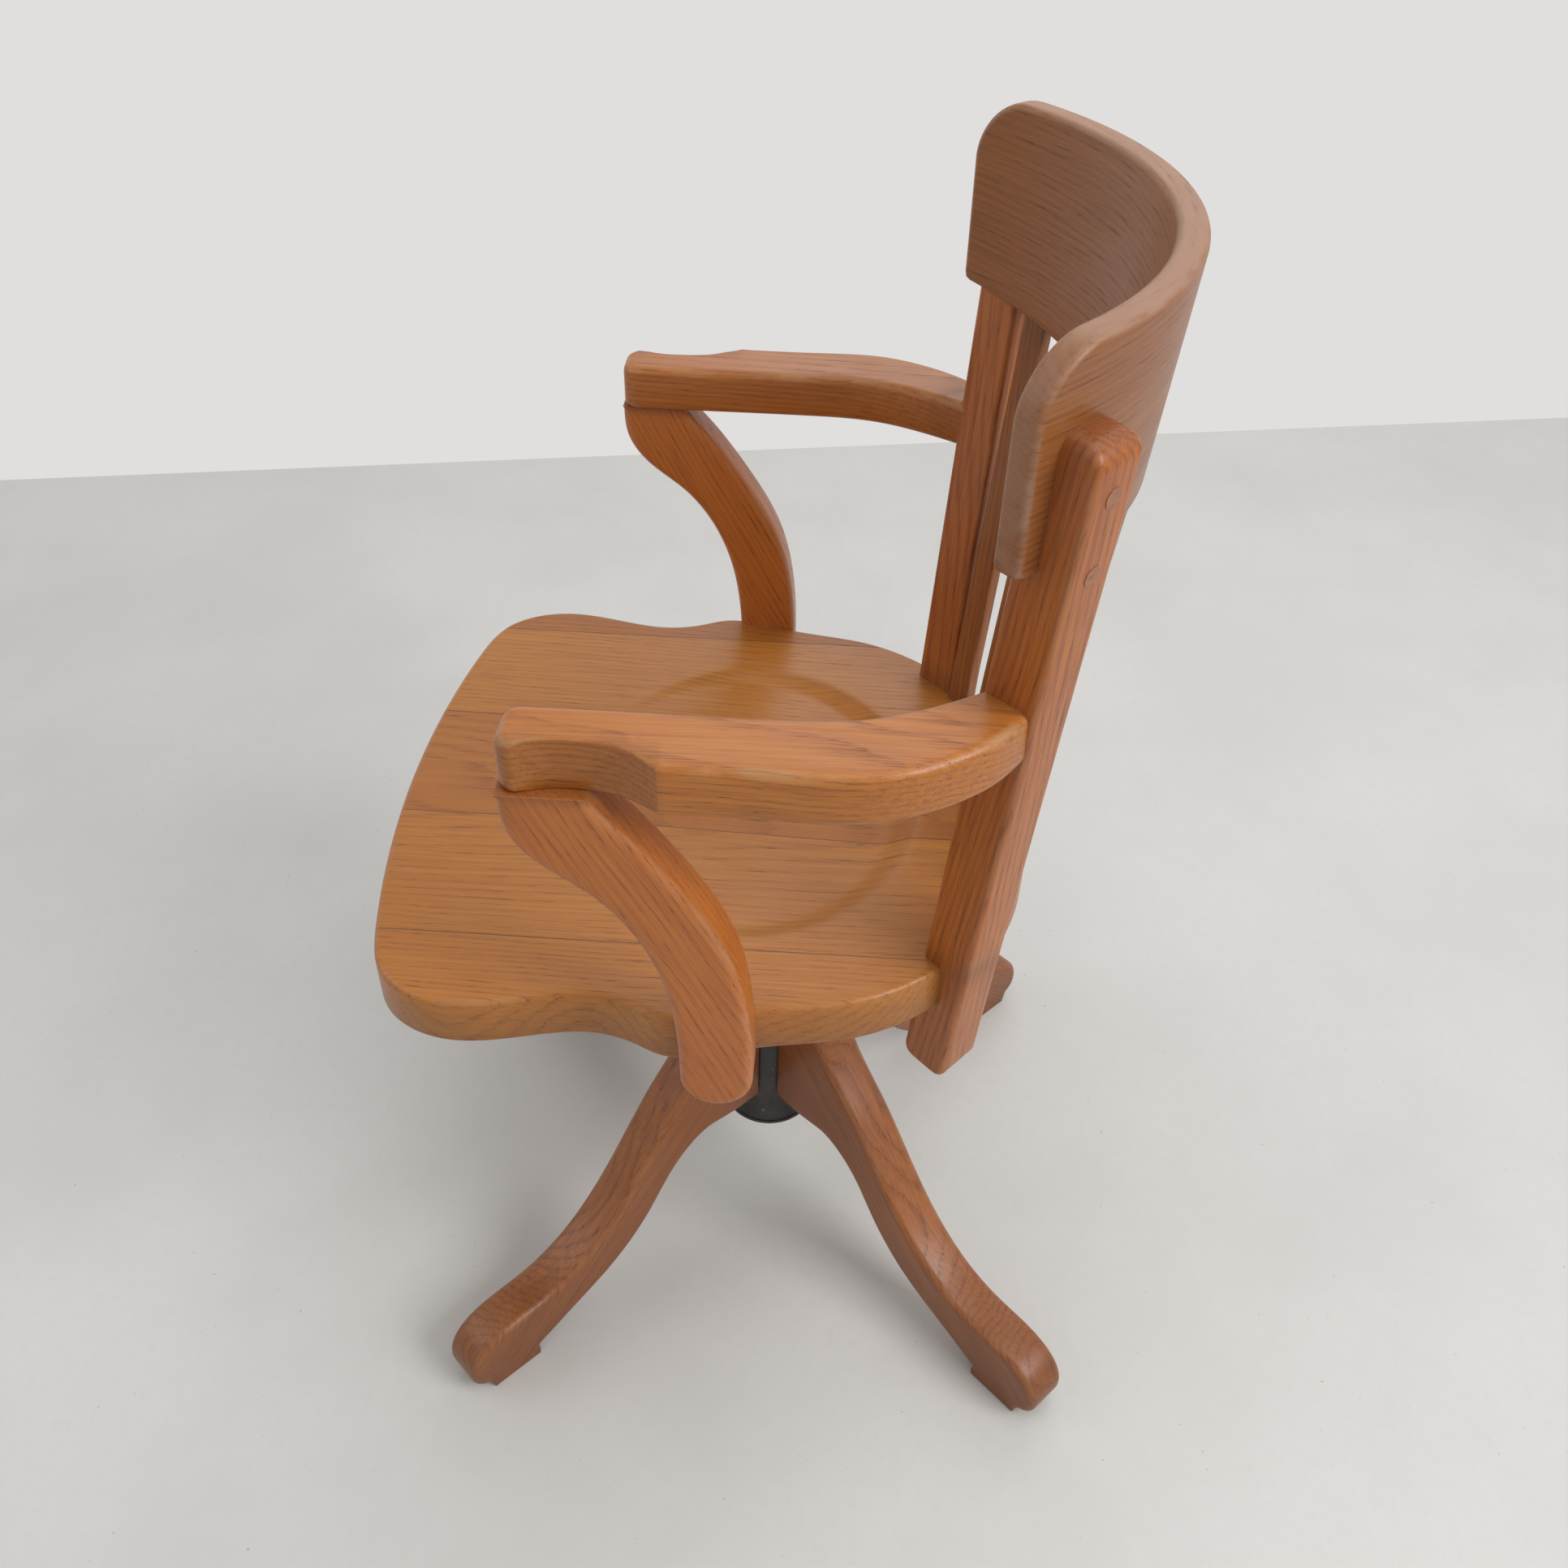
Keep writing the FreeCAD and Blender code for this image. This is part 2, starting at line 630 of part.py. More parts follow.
def make_support():
    """The S-shaped board, drawn in the YZ plane and swept across its thickness."""
    down = V(0, 0, -1)
    head_front = SUPPORT_HEAD_FRONT_Y
    head_rear = SUPPORT_HEAD_REAR_Y
    foot_radius = (SUPPORT_REAR_Y - SUPPORT_FRONT_Y) / 2
    foot_centre = (SUPPORT_REAR_Y + SUPPORT_FRONT_Y) / 2
    foot_top = SUPPORT_BOTTOM + foot_radius

    def at(y, z):
        return V(SUPPORT_INNER_X, y, z)

    def between(shares, y0, y1):
        tall = ARM_UNDERSIDE - foot_top
        return [at(y0 + along * (y1 - y0), foot_top + up * tall) for along, up in shares]

    front_foot = at(SUPPORT_FRONT_Y, foot_top)
    rear_foot = at(SUPPORT_REAR_Y, foot_top)
    swell = between(SUPPORT_FRONT_SHARES, head_front, SUPPORT_FRONT_Y)
    hollow = between(SUPPORT_REAR_SHARES, SUPPORT_REAR_Y, head_rear)
    front = spline([at(head_front, ARM_UNDERSIDE)] + swell + [front_foot], down, down)
    foot = arc(front_foot, at(foot_centre, SUPPORT_BOTTOM), rear_foot)
    rear = spline([rear_foot] + hollow + [at(head_rear, ARM_UNDERSIDE)], -down, V(0, -0.5, 1))
    head = line(at(head_rear, ARM_UNDERSIDE), at(head_front, ARM_UNDERSIDE))
    board = prism([front, foot, rear, head], V(SUPPORT_THICKNESS, 0, 0))

    def rounded(centre, edge):
        return edge.BoundBox.XLength < 1e-3 and edge.BoundBox.ZLength > 5

    return largest(board.makeFillet(SUPPORT_EDGE_ROUND, edges_near(board, rounded)))


# Legs

def make_leg(index):
    """One leg, drawn in the XZ plane along +X and then turned to its place."""
    half = LEG_THICKNESS / 2
    start = LEG_INNER_REACH
    toe = LEG_TOE_REACH
    head = LEG_HEAD_TOP
    under = LEG_HEAD_UNDERSIDE
    pad = LEG_PAD_HEIGHT
    foot = LEG_FOOT_HEIGHT

    def at(u, z):
        return V(u, -half, z)

    def between(shares, u0, u1, z0, z1):
        return [at(u0 + along * (u1 - u0), z0 + up * (z1 - z0)) for along, up in shares]

    shoulder = at(start + LEG_SHOULDER_RUN, head)
    knees = between(LEG_TOP_SHARES, start, toe, foot, head)
    instep = [at(toe - 75, foot + 4), at(toe - 38, foot + 1), at(toe - 9, foot - 12), at(toe, foot - 32)]
    top = spline([shoulder] + knees + instep, V(1, 0, -0.7), V(0.02, 0, -1))
    chin = spline([at(toe, foot - 32), at(toe - 3, foot - 46), at(LEG_PAD_END + 2, pad)],
                  V(0.02, 0, -1), V(-1, 0, -0.25))
    heel = at(LEG_PAD_START - 2, pad + 3)
    armpit = at(start + LEG_UNDER_RUN, under)
    hollow = between(LEG_UNDER_SHARES, armpit.x, heel.x, heel.z, under)
    below = spline([heel] + hollow + [armpit], V(-1, 0, 0.35), V(-1, 0, 0.02))
    edges = [
        line(at(start, head), shoulder),
        top,
        chin,
        line(at(LEG_PAD_END + 2, pad), at(LEG_PAD_END, 0)),
        line(at(LEG_PAD_END, 0), at(LEG_PAD_START, 0)),
        line(at(LEG_PAD_START, 0), heel),
        below,
        line(armpit, at(start, under)),
        line(at(start, under), at(start, head)),
    ]
    board = prism(edges, V(0, LEG_THICKNESS, 0))

    def rounded(centre, edge):
        box = edge.BoundBox
        return box.YLength < 1e-3 and box.XMin > start + LEG_SHOULDER_RUN - 1 and box.XLength > 60

    board = board.makeFillet(LEG_EDGE_ROUND, edges_near(board, rounded))
    return about_axis(board, leg_angle(index))


def leg_angle(index):
    return LEG_FIRST_ANGLE + index * 360.0 / LEG_COUNT


def radial(angle, reach, height):
    turn = math.radians(angle)
    return V(reach * math.cos(turn), reach * math.sin(turn), height)


# Hub and its bearings

def make_hub():
    wall = HUB_SKIRT_WALL
    body = turned([
        (HUB_BORE_RADIUS, HUB_TOP),
        (HUB_FLANGE_RADIUS, HUB_TOP),
        (HUB_FLANGE_RADIUS, LEG_HEAD_TOP),
        (HUB_RADIUS, LEG_HEAD_TOP),
        (HUB_RADIUS, HUB_SKIRT_TOP),
        (HUB_RADIUS + 2, HUB_SKIRT_TOP - 12),
        (HUB_RIM_RADIUS - 1, HUB_SKIRT_BOTTOM + HUB_RIM_LIP),
        (HUB_RIM_RADIUS, HUB_SKIRT_BOTTOM + HUB_RIM_LIP),
        (HUB_RIM_RADIUS, HUB_SKIRT_BOTTOM),
        (HUB_RIM_RADIUS - 1 - wall, HUB_SKIRT_BOTTOM),
        (HUB_RADIUS + 2 - wall, HUB_SKIRT_TOP - 12),
        (HUB_BORE_RADIUS, HUB_SKIRT_TOP - 8),
    ])
    lugs = []
    flats = []
    lug_start = HUB_BORE_RADIUS + 4
    lug_bottom = LEG_HEAD_UNDERSIDE - HUB_LUG_THICKNESS
    for index in range(LEG_COUNT):
        lug = Part.makeBox(HUB_LUG_REACH - lug_start, HUB_LUG_WIDTH, HUB_LUG_THICKNESS,
                           V(lug_start, -HUB_LUG_WIDTH / 2, lug_bottom))
        lugs.append(about_axis(lug, leg_angle(index)))
        height = LEG_HEAD_TOP - LEG_HEAD_UNDERSIDE
        flat = Part.makeBox(HUB_RADIUS, LEG_THICKNESS, height,
                            V(LEG_INNER_REACH, -LEG_THICKNESS / 2, LEG_HEAD_UNDERSIDE))
        flats.append(about_axis(flat, leg_angle(index)))
    hub = body.fuse(lugs).removeSplitter()
    bore = rod(HUB_BORE_RADIUS, V(0, 0, HUB_SKIRT_TOP - 14), UP, HUB_TOP)
    return less(hub, flats + [bore])


def bush_bottoms():
    return {"upper_bush": HUB_TOP - BUSH_LENGTH, "lower_bush": HUB_SKIRT_TOP}


def make_bush(bottom):
    return ring(HUB_BORE_RADIUS, SPINDLE_RADIUS + FIT_CLEARANCE, bottom, BUSH_LENGTH)


def make_key_screw():
    """The guide screw at the hub's side whose tip runs in the spindle's keyway."""
    inwards = V(1, 0, 0)
    outer_end = V(-HUB_RADIUS - KEY_SCREW_HEAD, 0, KEY_SCREW_Z)
    head = rod(KEY_SCREW_HEAD_RADIUS, outer_end, inwards, KEY_SCREW_HEAD)
    slot = Part.makeBox(2, 2 * KEY_SCREW_HEAD_RADIUS + 2, 1.6,
                        V(-HUB_RADIUS - KEY_SCREW_HEAD - 0.1, -KEY_SCREW_HEAD_RADIUS - 1, KEY_SCREW_Z - 0.8))
    keyway_floor = SPINDLE_RADIUS - KEYWAY_DEPTH
    shank_end = SPINDLE_RADIUS + 2
    shank = rod(KEY_SCREW_RADIUS, V(-HUB_RADIUS, 0, KEY_SCREW_Z), inwards, HUB_RADIUS - shank_end)
    tip_radius = KEYWAY_WIDTH / 2 - KEY_TIP_CLEARANCE
    tip_length = HUB_RADIUS - keyway_floor - 0.5
    tip = rod(tip_radius, V(-HUB_RADIUS, 0, KEY_SCREW_Z), inwards, tip_length)
    return largest(head.fuse([shank, tip]).cut(slot).removeSplitter())


def make_spindle():
    bevel = 2.0
    outline = [
        (0, SPINDLE_BOTTOM),
        (SPINDLE_RADIUS - bevel, SPINDLE_BOTTOM),
        (SPINDLE_RADIUS, SPINDLE_BOTTOM + bevel),
    ]
    turns = int((THREAD_END - THREAD_START) / THREAD_PITCH)
    for turn in range(turns):
        z = THREAD_START + turn * THREAD_PITCH
        root = SPINDLE_RADIUS - THREAD_DEPTH
        outline += [(SPINDLE_RADIUS, z), (root, z + 1.0), (root, z + 2.4), (SPINDLE_RADIUS, z + 3.4)]
    pin_top = SEAT_BOTTOM + FACE_GAP
    outline += [(SPINDLE_RADIUS, SPINDLE_SHOULDER), (PIN_RADIUS, SPINDLE_SHOULDER),
                (PIN_RADIUS, pin_top), (0, pin_top)]
    body = turned(outline)
    keyway = Part.makeBox(KEYWAY_DEPTH + 2, KEYWAY_WIDTH, KEYWAY_TOP - SPINDLE_BOTTOM + 2,
                          V(-SPINDLE_RADIUS - 2, -KEYWAY_WIDTH / 2, SPINDLE_BOTTOM - 2))
    hole_bottom = V(0, 0, pin_top - RETAINING_BOLT_LENGTH)
    hole = rod(RETAINING_BOLT_RADIUS, hole_bottom, UP, RETAINING_BOLT_LENGTH + 1)
    return less(body, [keyway, hole])


def make_retaining_bolt():
    top = SEAT_BOTTOM + FACE_GAP + RETAINING_WASHER_THICKNESS
    points = []
    for corner in range(6):
        turn = math.radians(60 * corner)
        points.append(V(RETAINING_BOLT_HEAD_RADIUS * math.cos(turn),
                        RETAINING_BOLT_HEAD_RADIUS * math.sin(turn), top))
    head = polygon_prism(points, UP * RETAINING_BOLT_HEAD)
    length = RETAINING_BOLT_LENGTH + RETAINING_WASHER_THICKNESS
    return largest(head.fuse(rod(RETAINING_BOLT_RADIUS, V(0, 0, top - length), UP, length)).removeSplitter())


def make_height_wheel():
    boss = ring(WHEEL_BOSS_RADIUS, SPINDLE_RADIUS + FIT_CLEARANCE, WHEEL_BOTTOM, WHEEL_BOSS_HEIGHT)
    rim = ring(WHEEL_RIM_RADIUS, WHEEL_RIM_RADIUS - WHEEL_RIM_WIDTH, WHEEL_BOTTOM, WHEEL_RIM_HEIGHT)
    rim = rim.makeFillet(3.0, edges_near(rim, lambda c, e: e.Length > 100 and e.Length < 1e4))
    spokes = []
    for index in range(WHEEL_SPOKE_COUNT):
        reach = WHEEL_RIM_RADIUS - WHEEL_RIM_WIDTH / 2 - SPINDLE_RADIUS - 5
        spoke = Part.makeBox(reach, WHEEL_SPOKE_WIDTH, WHEEL_SPOKE_HEIGHT,
                             V(SPINDLE_RADIUS + 5, -WHEEL_SPOKE_WIDTH / 2, WHEEL_BOTTOM + 2))
        spokes.append(about_axis(spoke, index * 360.0 / WHEEL_SPOKE_COUNT))
    grips = []
    for index in range(WHEEL_GRIP_COUNT):
        reach = WHEEL_RIM_RADIUS + WHEEL_GRIP_RADIUS - WHEEL_GRIP_BITE
        place = radial((index + 0.5) * 360.0 / WHEEL_GRIP_COUNT, reach, WHEEL_BOTTOM - 1)
        grips.append(rod(WHEEL_GRIP_RADIUS, place, UP, WHEEL_RIM_HEIGHT + 2))
    wheel = boss.fuse([rim] + spokes).removeSplitter()
    return less(wheel, grips)


# Seat iron

def iron_screw_reaches():
    return [IRON_PLATE_RADIUS + 20, IRON_ARM_REACH - 12]


def make_seat_iron(screws):
    plate_bottom = SEAT_BOTTOM - IRON_PLATE_THICKNESS
    plate = rod(IRON_PLATE_RADIUS, V(0, 0, plate_bottom), UP, IRON_PLATE_THICKNESS)
    boss = rod(IRON_BOSS_RADIUS, V(0, 0, IRON_BOSS_BOTTOM), UP, SEAT_BOTTOM - IRON_BOSS_BOTTOM)
    flare = Part.makeCone(IRON_BOSS_RADIUS, IRON_PLATE_RADIUS - 12, 22, V(0, 0, plate_bottom - 22), UP)
    pieces = [boss, flare]
    for index in range(IRON_ARM_COUNT):
        angle = 45 + index * 360.0 / IRON_ARM_COUNT
        arm = Part.makeBox(IRON_ARM_REACH - IRON_ARM_WIDTH / 2, IRON_ARM_WIDTH, IRON_PLATE_THICKNESS,
                           V(0, -IRON_ARM_WIDTH / 2, plate_bottom))
        tip = rod(IRON_ARM_WIDTH / 2, V(IRON_ARM_REACH - IRON_ARM_WIDTH / 2, 0, plate_bottom), UP,
                  IRON_PLATE_THICKNESS)
        pieces += [about_axis(arm, angle), about_axis(tip, angle)]
    iron = plate.fuse(pieces).removeSplitter()
    bore = rod(PIN_RADIUS + FIT_CLEARANCE, V(0, 0, IRON_BOSS_BOTTOM - 1), UP, SEAT_BOTTOM)
    return less(iron, [bore] + screws)


def seat_iron_screws():
    screws = []
    for index in range(IRON_ARM_COUNT):
        for reach in iron_screw_reaches():
            place = radial(45 + index * 360.0 / IRON_ARM_COUNT, reach, SEAT_BOTTOM - IRON_PLATE_THICKNESS)
            screws.append(wood_screw(place, UP, SEAT_SCREW_LENGTH))
    return screws


def leg_flange_screws():
    screws = []
    for index in range(LEG_COUNT):
        place = radial(leg_angle(index), (HUB_RADIUS + HUB_FLANGE_RADIUS) / 2 - 2, HUB_TOP)
        screws.append(wood_screw(place, -UP, LEG_SCREW_LENGTH))
    return screws


def leg_lug_screws():
    screws = []
    for index in range(LEG_COUNT):
        place = radial(leg_angle(index), HUB_LUG_REACH - 10, LEG_HEAD_UNDERSIDE - HUB_LUG_THICKNESS)
        screws.append(wood_screw(place, UP, LUG_SCREW_LENGTH))
    return screws


# Hidden joints of the seat frame, at +X

def crest_screws():
    screws = []
    for height in crest_screw_heights():
        start = post_face_centre(height) - POST_NORMAL * PLUG_DEPTH
        screws.append(wood_screw(start, -POST_NORMAL, CREST_SCREW_LENGTH))
    return screws


def crest_plugs():
    plugs = []
    for height in crest_screw_heights():
        start = post_face_centre(height) + POST_NORMAL * PLUG_STAND
        plugs.append(rod(PLUG_RADIUS, start, -POST_NORMAL, PLUG_DEPTH + PLUG_STAND))
    return plugs


def arm_dowels():
    """Two dowels through the butt joint of arm and post."""
    height = (ARM_UNDERSIDE + ARM_TOP) / 2
    across = ARM_END_WIDTH / 2
    dowels = []
    for step in (-0.5, 0.5):
        centre = post_arris(height) + POST_OUT * (across + step * ARM_DOWEL_SPACING)
        start = centre - POST_ACROSS * (DOWEL_LENGTH / 2)
        dowels.append(rod(DOWEL_RADIUS, start, POST_ACROSS, DOWEL_LENGTH))
    return dowels


def head_dowels():
    """Two upright dowels between an arm's underside and its support."""
    x = SUPPORT_INNER_X + SUPPORT_THICKNESS / 2 - 4
    middle = (SUPPORT_HEAD_FRONT_Y + SUPPORT_HEAD_REAR_Y) / 2
    dowels = []
    for step in (-0.5, 0.5):
        base = V(x, middle + step * HEAD_DOWEL_SPACING, ARM_UNDERSIDE - DOWEL_LENGTH / 2)
        dowels.append(rod(DOWEL_RADIUS, base, UP, DOWEL_LENGTH))
    return dowels


def support_dowels():
    """Two dowels from the support into the seat's edge."""
    height = (SEAT_TOP + SEAT_BOTTOM) / 2
    middle = (SUPPORT_FRONT_Y + SUPPORT_REAR_Y) / 2
    dowels = []
    for step in (-0.5, 0.5):
        base = V(SUPPORT_INNER_X - DOWEL_LENGTH / 2, middle + step * SEAT_DOWEL_SPACING, height)
        dowels.append(rod(DOWEL_RADIUS, base, V(1, 0, 0), DOWEL_LENGTH))
    return dowels


def post_dowels():
    """One dowel from the post into the notch of the seat, at each of two places."""
    height = (SEAT_TOP + SEAT_BOTTOM) / 2
    dowels = []
    for share in (0.25, 0.75):
        centre = post_arris(height) + POST_ACROSS * (POST_WIDTH * share)
        dowels.append(rod(DOWEL_RADIUS, centre - POST_OUT * (DOWEL_LENGTH / 2), POST_OUT, DOWEL_LENGTH))
    return dowels


def spindle_washers():
    shoulder = ring(SHOULDER_WASHER_RADIUS, PIN_RADIUS, SPINDLE_SHOULDER, SHOULDER_WASHER_THICKNESS)
    retaining = ring(RETAINING_WASHER_RADIUS, RETAINING_BOLT_RADIUS, SEAT_BOTTOM + FACE_GAP,
                     RETAINING_WASHER_THICKNESS)
    return shoulder, retaining


def build():
    """Every sub-part by its node name."""
    nodes = {}
    side_names = ("left", "right")

    nodes["hub"] = make_hub()
    for name, bottom in bush_bottoms().items():
        nodes[name] = make_bush(bottom)
    key_screw = make_key_screw()
    nodes["hub"] = less(nodes["hub"], [key_screw])
    nodes["key_screw"] = key_screw
    nodes["thrust_washer"] = ring(THRUST_WASHER_RADIUS, SPINDLE_RADIUS + 1, HUB_TOP, THRUST_WASHER_THICKNESS)

    flange_screws = leg_flange_screws()
    lug_screws = leg_lug_screws()
    leg_names = ("leg_rear_left", "leg_rear_right", "leg_front_right", "leg_front_left")
    for index, name in enumerate(leg_names):
        nodes[name] = less(make_leg(index), flange_screws + lug_screws)
    nodes["hub"] = less(nodes["hub"], flange_screws + lug_screws)
    nodes["leg_flange_screws"] = group(flange_screws)
    nodes["leg_lug_screws"] = group(lug_screws)

    nodes["height_wheel"] = make_height_wheel()
    nodes["spindle"] = make_spindle()
    shoulder, retaining = spindle_washers()
    nodes["shoulder_washer"] = shoulder
    nodes["retaining_washer"] = retaining
    nodes["retaining_bolt"] = make_retaining_bolt()

    iron_screws = seat_iron_screws()
    nodes["seat_iron"] = make_seat_iron(iron_screws)
    nodes["seat_iron_screws"] = group(iron_screws)

    crest_blank = make_crest()
    post_blank = make_post()
    support_blank = make_support()
    slats = [make_slat(angle) for angle in slat_angles()]
    screws = crest_screws()
    plugs = crest_plugs()
    dowels = {
        "arm_dowels": arm_dowels(),
        "arm_head_dowels": head_dowels(),
        "support_dowels": support_dowels(),
        "post_dowels": post_dowels(),
    }

    def mirrored(shapes):
        return [copy for shape in shapes for copy in both_sides(shape)]

    post = less(post_blank, [crest_blank])
    arm = make_arm(post)
    post = less(post, screws + plugs + dowels["arm_dowels"] + dowels["post_dowels"])
    arm = less(arm, dowels["arm_dowels"] + dowels["arm_head_dowels"])
    support = less(support_blank, dowels["arm_head_dowels"] + dowels["support_dowels"])

    seat = less(seat_blank(), [dish_tool(), iron_pocket()])
    seat = less(seat, both_sides(post_blank) + both_sides(support_blank))
    seat = less(seat, slats + iron_screws + mirrored(dowels["support_dowels"] + dowels["post_dowels"]))
    nodes["seat"] = seat
    nodes["crest_rail"] = less(crest_blank, slats + mirrored(screws))
    for index, slat in enumerate(slats):
        nodes["back_slat_%d" % (index + 1)] = slat

    for name, shape in (("back_post", post), ("arm", arm), ("arm_support", support)):
        for side, copy in zip(side_names, both_sides(shape)):
            nodes["%s_%s" % (name, side)] = copy
    nodes["crest_screws"] = group(mirrored(screws))
    nodes["crest_plugs"] = group(mirrored(plugs))
    for name, pieces in dowels.items():
        nodes[name] = group(mirrored(pieces))
    return nodes


def main():
    os.makedirs("parts", exist_ok=True)
    for name, shape in build().items():
        shape.exportStep("parts/%s.step" % name)
        print(name, len(shape.Solids), shape.isValid(), round(shape.Volume))


main()
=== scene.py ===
"""Bankers swivel chair: dressed oak boards, black cast ironwork and a plain studio."""

import logging
import math
from dataclasses import dataclass, field
from enum import Enum
from typing import Any, Callable, Optional, Sequence, Union

import bmesh
import bpy
import numpy as np
from mathutils import Matrix, Vector


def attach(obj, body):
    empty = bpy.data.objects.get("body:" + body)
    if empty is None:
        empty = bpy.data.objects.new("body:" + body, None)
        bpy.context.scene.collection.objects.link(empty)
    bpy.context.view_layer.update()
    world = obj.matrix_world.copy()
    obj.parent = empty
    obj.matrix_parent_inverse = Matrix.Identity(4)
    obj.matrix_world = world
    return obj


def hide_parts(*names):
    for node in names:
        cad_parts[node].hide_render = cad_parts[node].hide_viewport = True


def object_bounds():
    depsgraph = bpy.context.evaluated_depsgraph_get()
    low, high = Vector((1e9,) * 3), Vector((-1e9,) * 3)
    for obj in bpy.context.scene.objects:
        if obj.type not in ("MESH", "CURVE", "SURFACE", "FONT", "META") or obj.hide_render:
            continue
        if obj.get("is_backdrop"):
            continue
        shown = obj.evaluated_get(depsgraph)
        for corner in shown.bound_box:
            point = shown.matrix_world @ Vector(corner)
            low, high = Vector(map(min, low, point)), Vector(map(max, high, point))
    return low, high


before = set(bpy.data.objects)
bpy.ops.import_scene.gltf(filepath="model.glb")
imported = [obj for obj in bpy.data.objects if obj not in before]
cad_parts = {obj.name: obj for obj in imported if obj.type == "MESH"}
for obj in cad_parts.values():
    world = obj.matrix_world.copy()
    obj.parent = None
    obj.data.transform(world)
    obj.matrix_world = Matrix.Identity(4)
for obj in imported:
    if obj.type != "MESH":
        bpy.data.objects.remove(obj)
CAD_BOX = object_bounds()

LOG = logging.getLogger("bankers_chair")

# The angle between two faces from which their shared edge shades as sharp, on a board and where one is cut.
BOARD_SHARP = math.radians(50)
CUT_SHARP = math.radians(38)

Array = np.ndarray
Colour = tuple[float, float, float]
Number = Union[int, float]
Point = tuple[float, float]
Shares = tuple[Point, ...]


class Hand(Enum):
    """The sitter's left or right, as the sign of X."""

    LEFT = 1
    RIGHT = -1

    @property
    def word(self) -> str:
        """The side's name, as the pieces use it."""
        return self.name.lower()


class Body(Enum):
    """The rigid bodies that pieces ride on."""

    BASE = "base"
    SEAT = "seat_swivelling"


class Slot(Enum):
    """The record's material slots of the wooden pieces."""

    SEAT = "seat_oak"
    FRAME = "frame_oak"
    LEG = "leg_oak"


class Cut(Enum):
    """How a board was sawn from the log: where the pith lies, across and below the board, in metres."""

    PLAIN = (0.012, 0.055)
    RIFT = (0.075, 0.090)
    QUARTER = (0.140, 0.012)


# Shader building


class Channel:
    """A socket with arithmetic, so that shader maths reads as an expression."""

    def __init__(self, bench: "Bench", socket: bpy.types.NodeSocket) -> None:
        """Wraps one output socket.

        Args:
            bench: the material's node bench.
            socket: the output socket that carries the value.
        """
        self.bench = bench
        self.socket = socket

    def _math(self, operation: str, *values: Union["Channel", Number]) -> "Channel":
        """Adds one Math node.

        Args:
            operation: the node's operation.
            values: what feeds its inputs, in order.

        Returns:
            The node's result.
        """
        inputs = dict(enumerate(values))
        return self.bench.node("ShaderNodeMath", {"operation": operation}, inputs)

    def __add__(self, other: Union["Channel", Number]) -> "Channel":
        """Self plus other."""
        return self._math("ADD", self, other)

    def __radd__(self, other: Number) -> "Channel":
        """Other plus self."""
        return self._math("ADD", other, self)

    def __sub__(self, other: Union["Channel", Number]) -> "Channel":
        """Self less other."""
        return self._math("SUBTRACT", self, other)

    def __rsub__(self, other: Number) -> "Channel":
        """Other less self."""
        return self._math("SUBTRACT", other, self)

    def __mul__(self, other: Union["Channel", Number]) -> "Channel":
        """Self times other."""
        return self._math("MULTIPLY", self, other)

    def __rmul__(self, other: Number) -> "Channel":
        """Other times self."""
        return self._math("MULTIPLY", other, self)

    def __truediv__(self, other: Union["Channel", Number]) -> "Channel":
        """Self over other."""
        return self._math("DIVIDE", self, other)

    def __rtruediv__(self, other: Number) -> "Channel":
        """Other over self."""
        return self._math("DIVIDE", other, self)

    def __abs__(self) -> "Channel":
        """Self without its sign."""
        return self._math("ABSOLUTE", self)

    def fract(self) -> "Channel":
        """The part after the whole number."""
        return self._math("FRACT", self)

    def floor(self) -> "Channel":
        """The whole number below."""
        return self._math("FLOOR", self)

    def root(self) -> "Channel":
        """The square root."""
        return self._math("SQRT", self)

    def least(self, other: Union["Channel", Number]) -> "Channel":
        """The smaller of the two."""
        return self._math("MINIMUM", self, other)

    def most(self, other: Union["Channel", Number]) -> "Channel":
        """The larger of the two."""
        return self._math("MAXIMUM", self, other)

    def ramp(self, low: float, high: float, to_low: float = 0.0, to_high: float = 1.0) -> "Channel":
        """A smooth step between two values.

        Args:
            low: where the step starts.
            high: where it ends; it may lie below low.
            to_low: the result before the step.
            to_high: the result after it.

        Returns:
            The stepped value.
        """
        settings = {"interpolation_type": "SMOOTHSTEP"}
        inputs: dict[Union[int, str], Any] = {
            "Value": self, "From Min": low, "From Max": high, "To Min": to_low, "To Max": to_high}
        if low > high:
            inputs.update({"From Min": high, "From Max": low, "To Min": to_high, "To Max": to_low})
        return self.bench.node("ShaderNodeMapRange", settings, inputs)


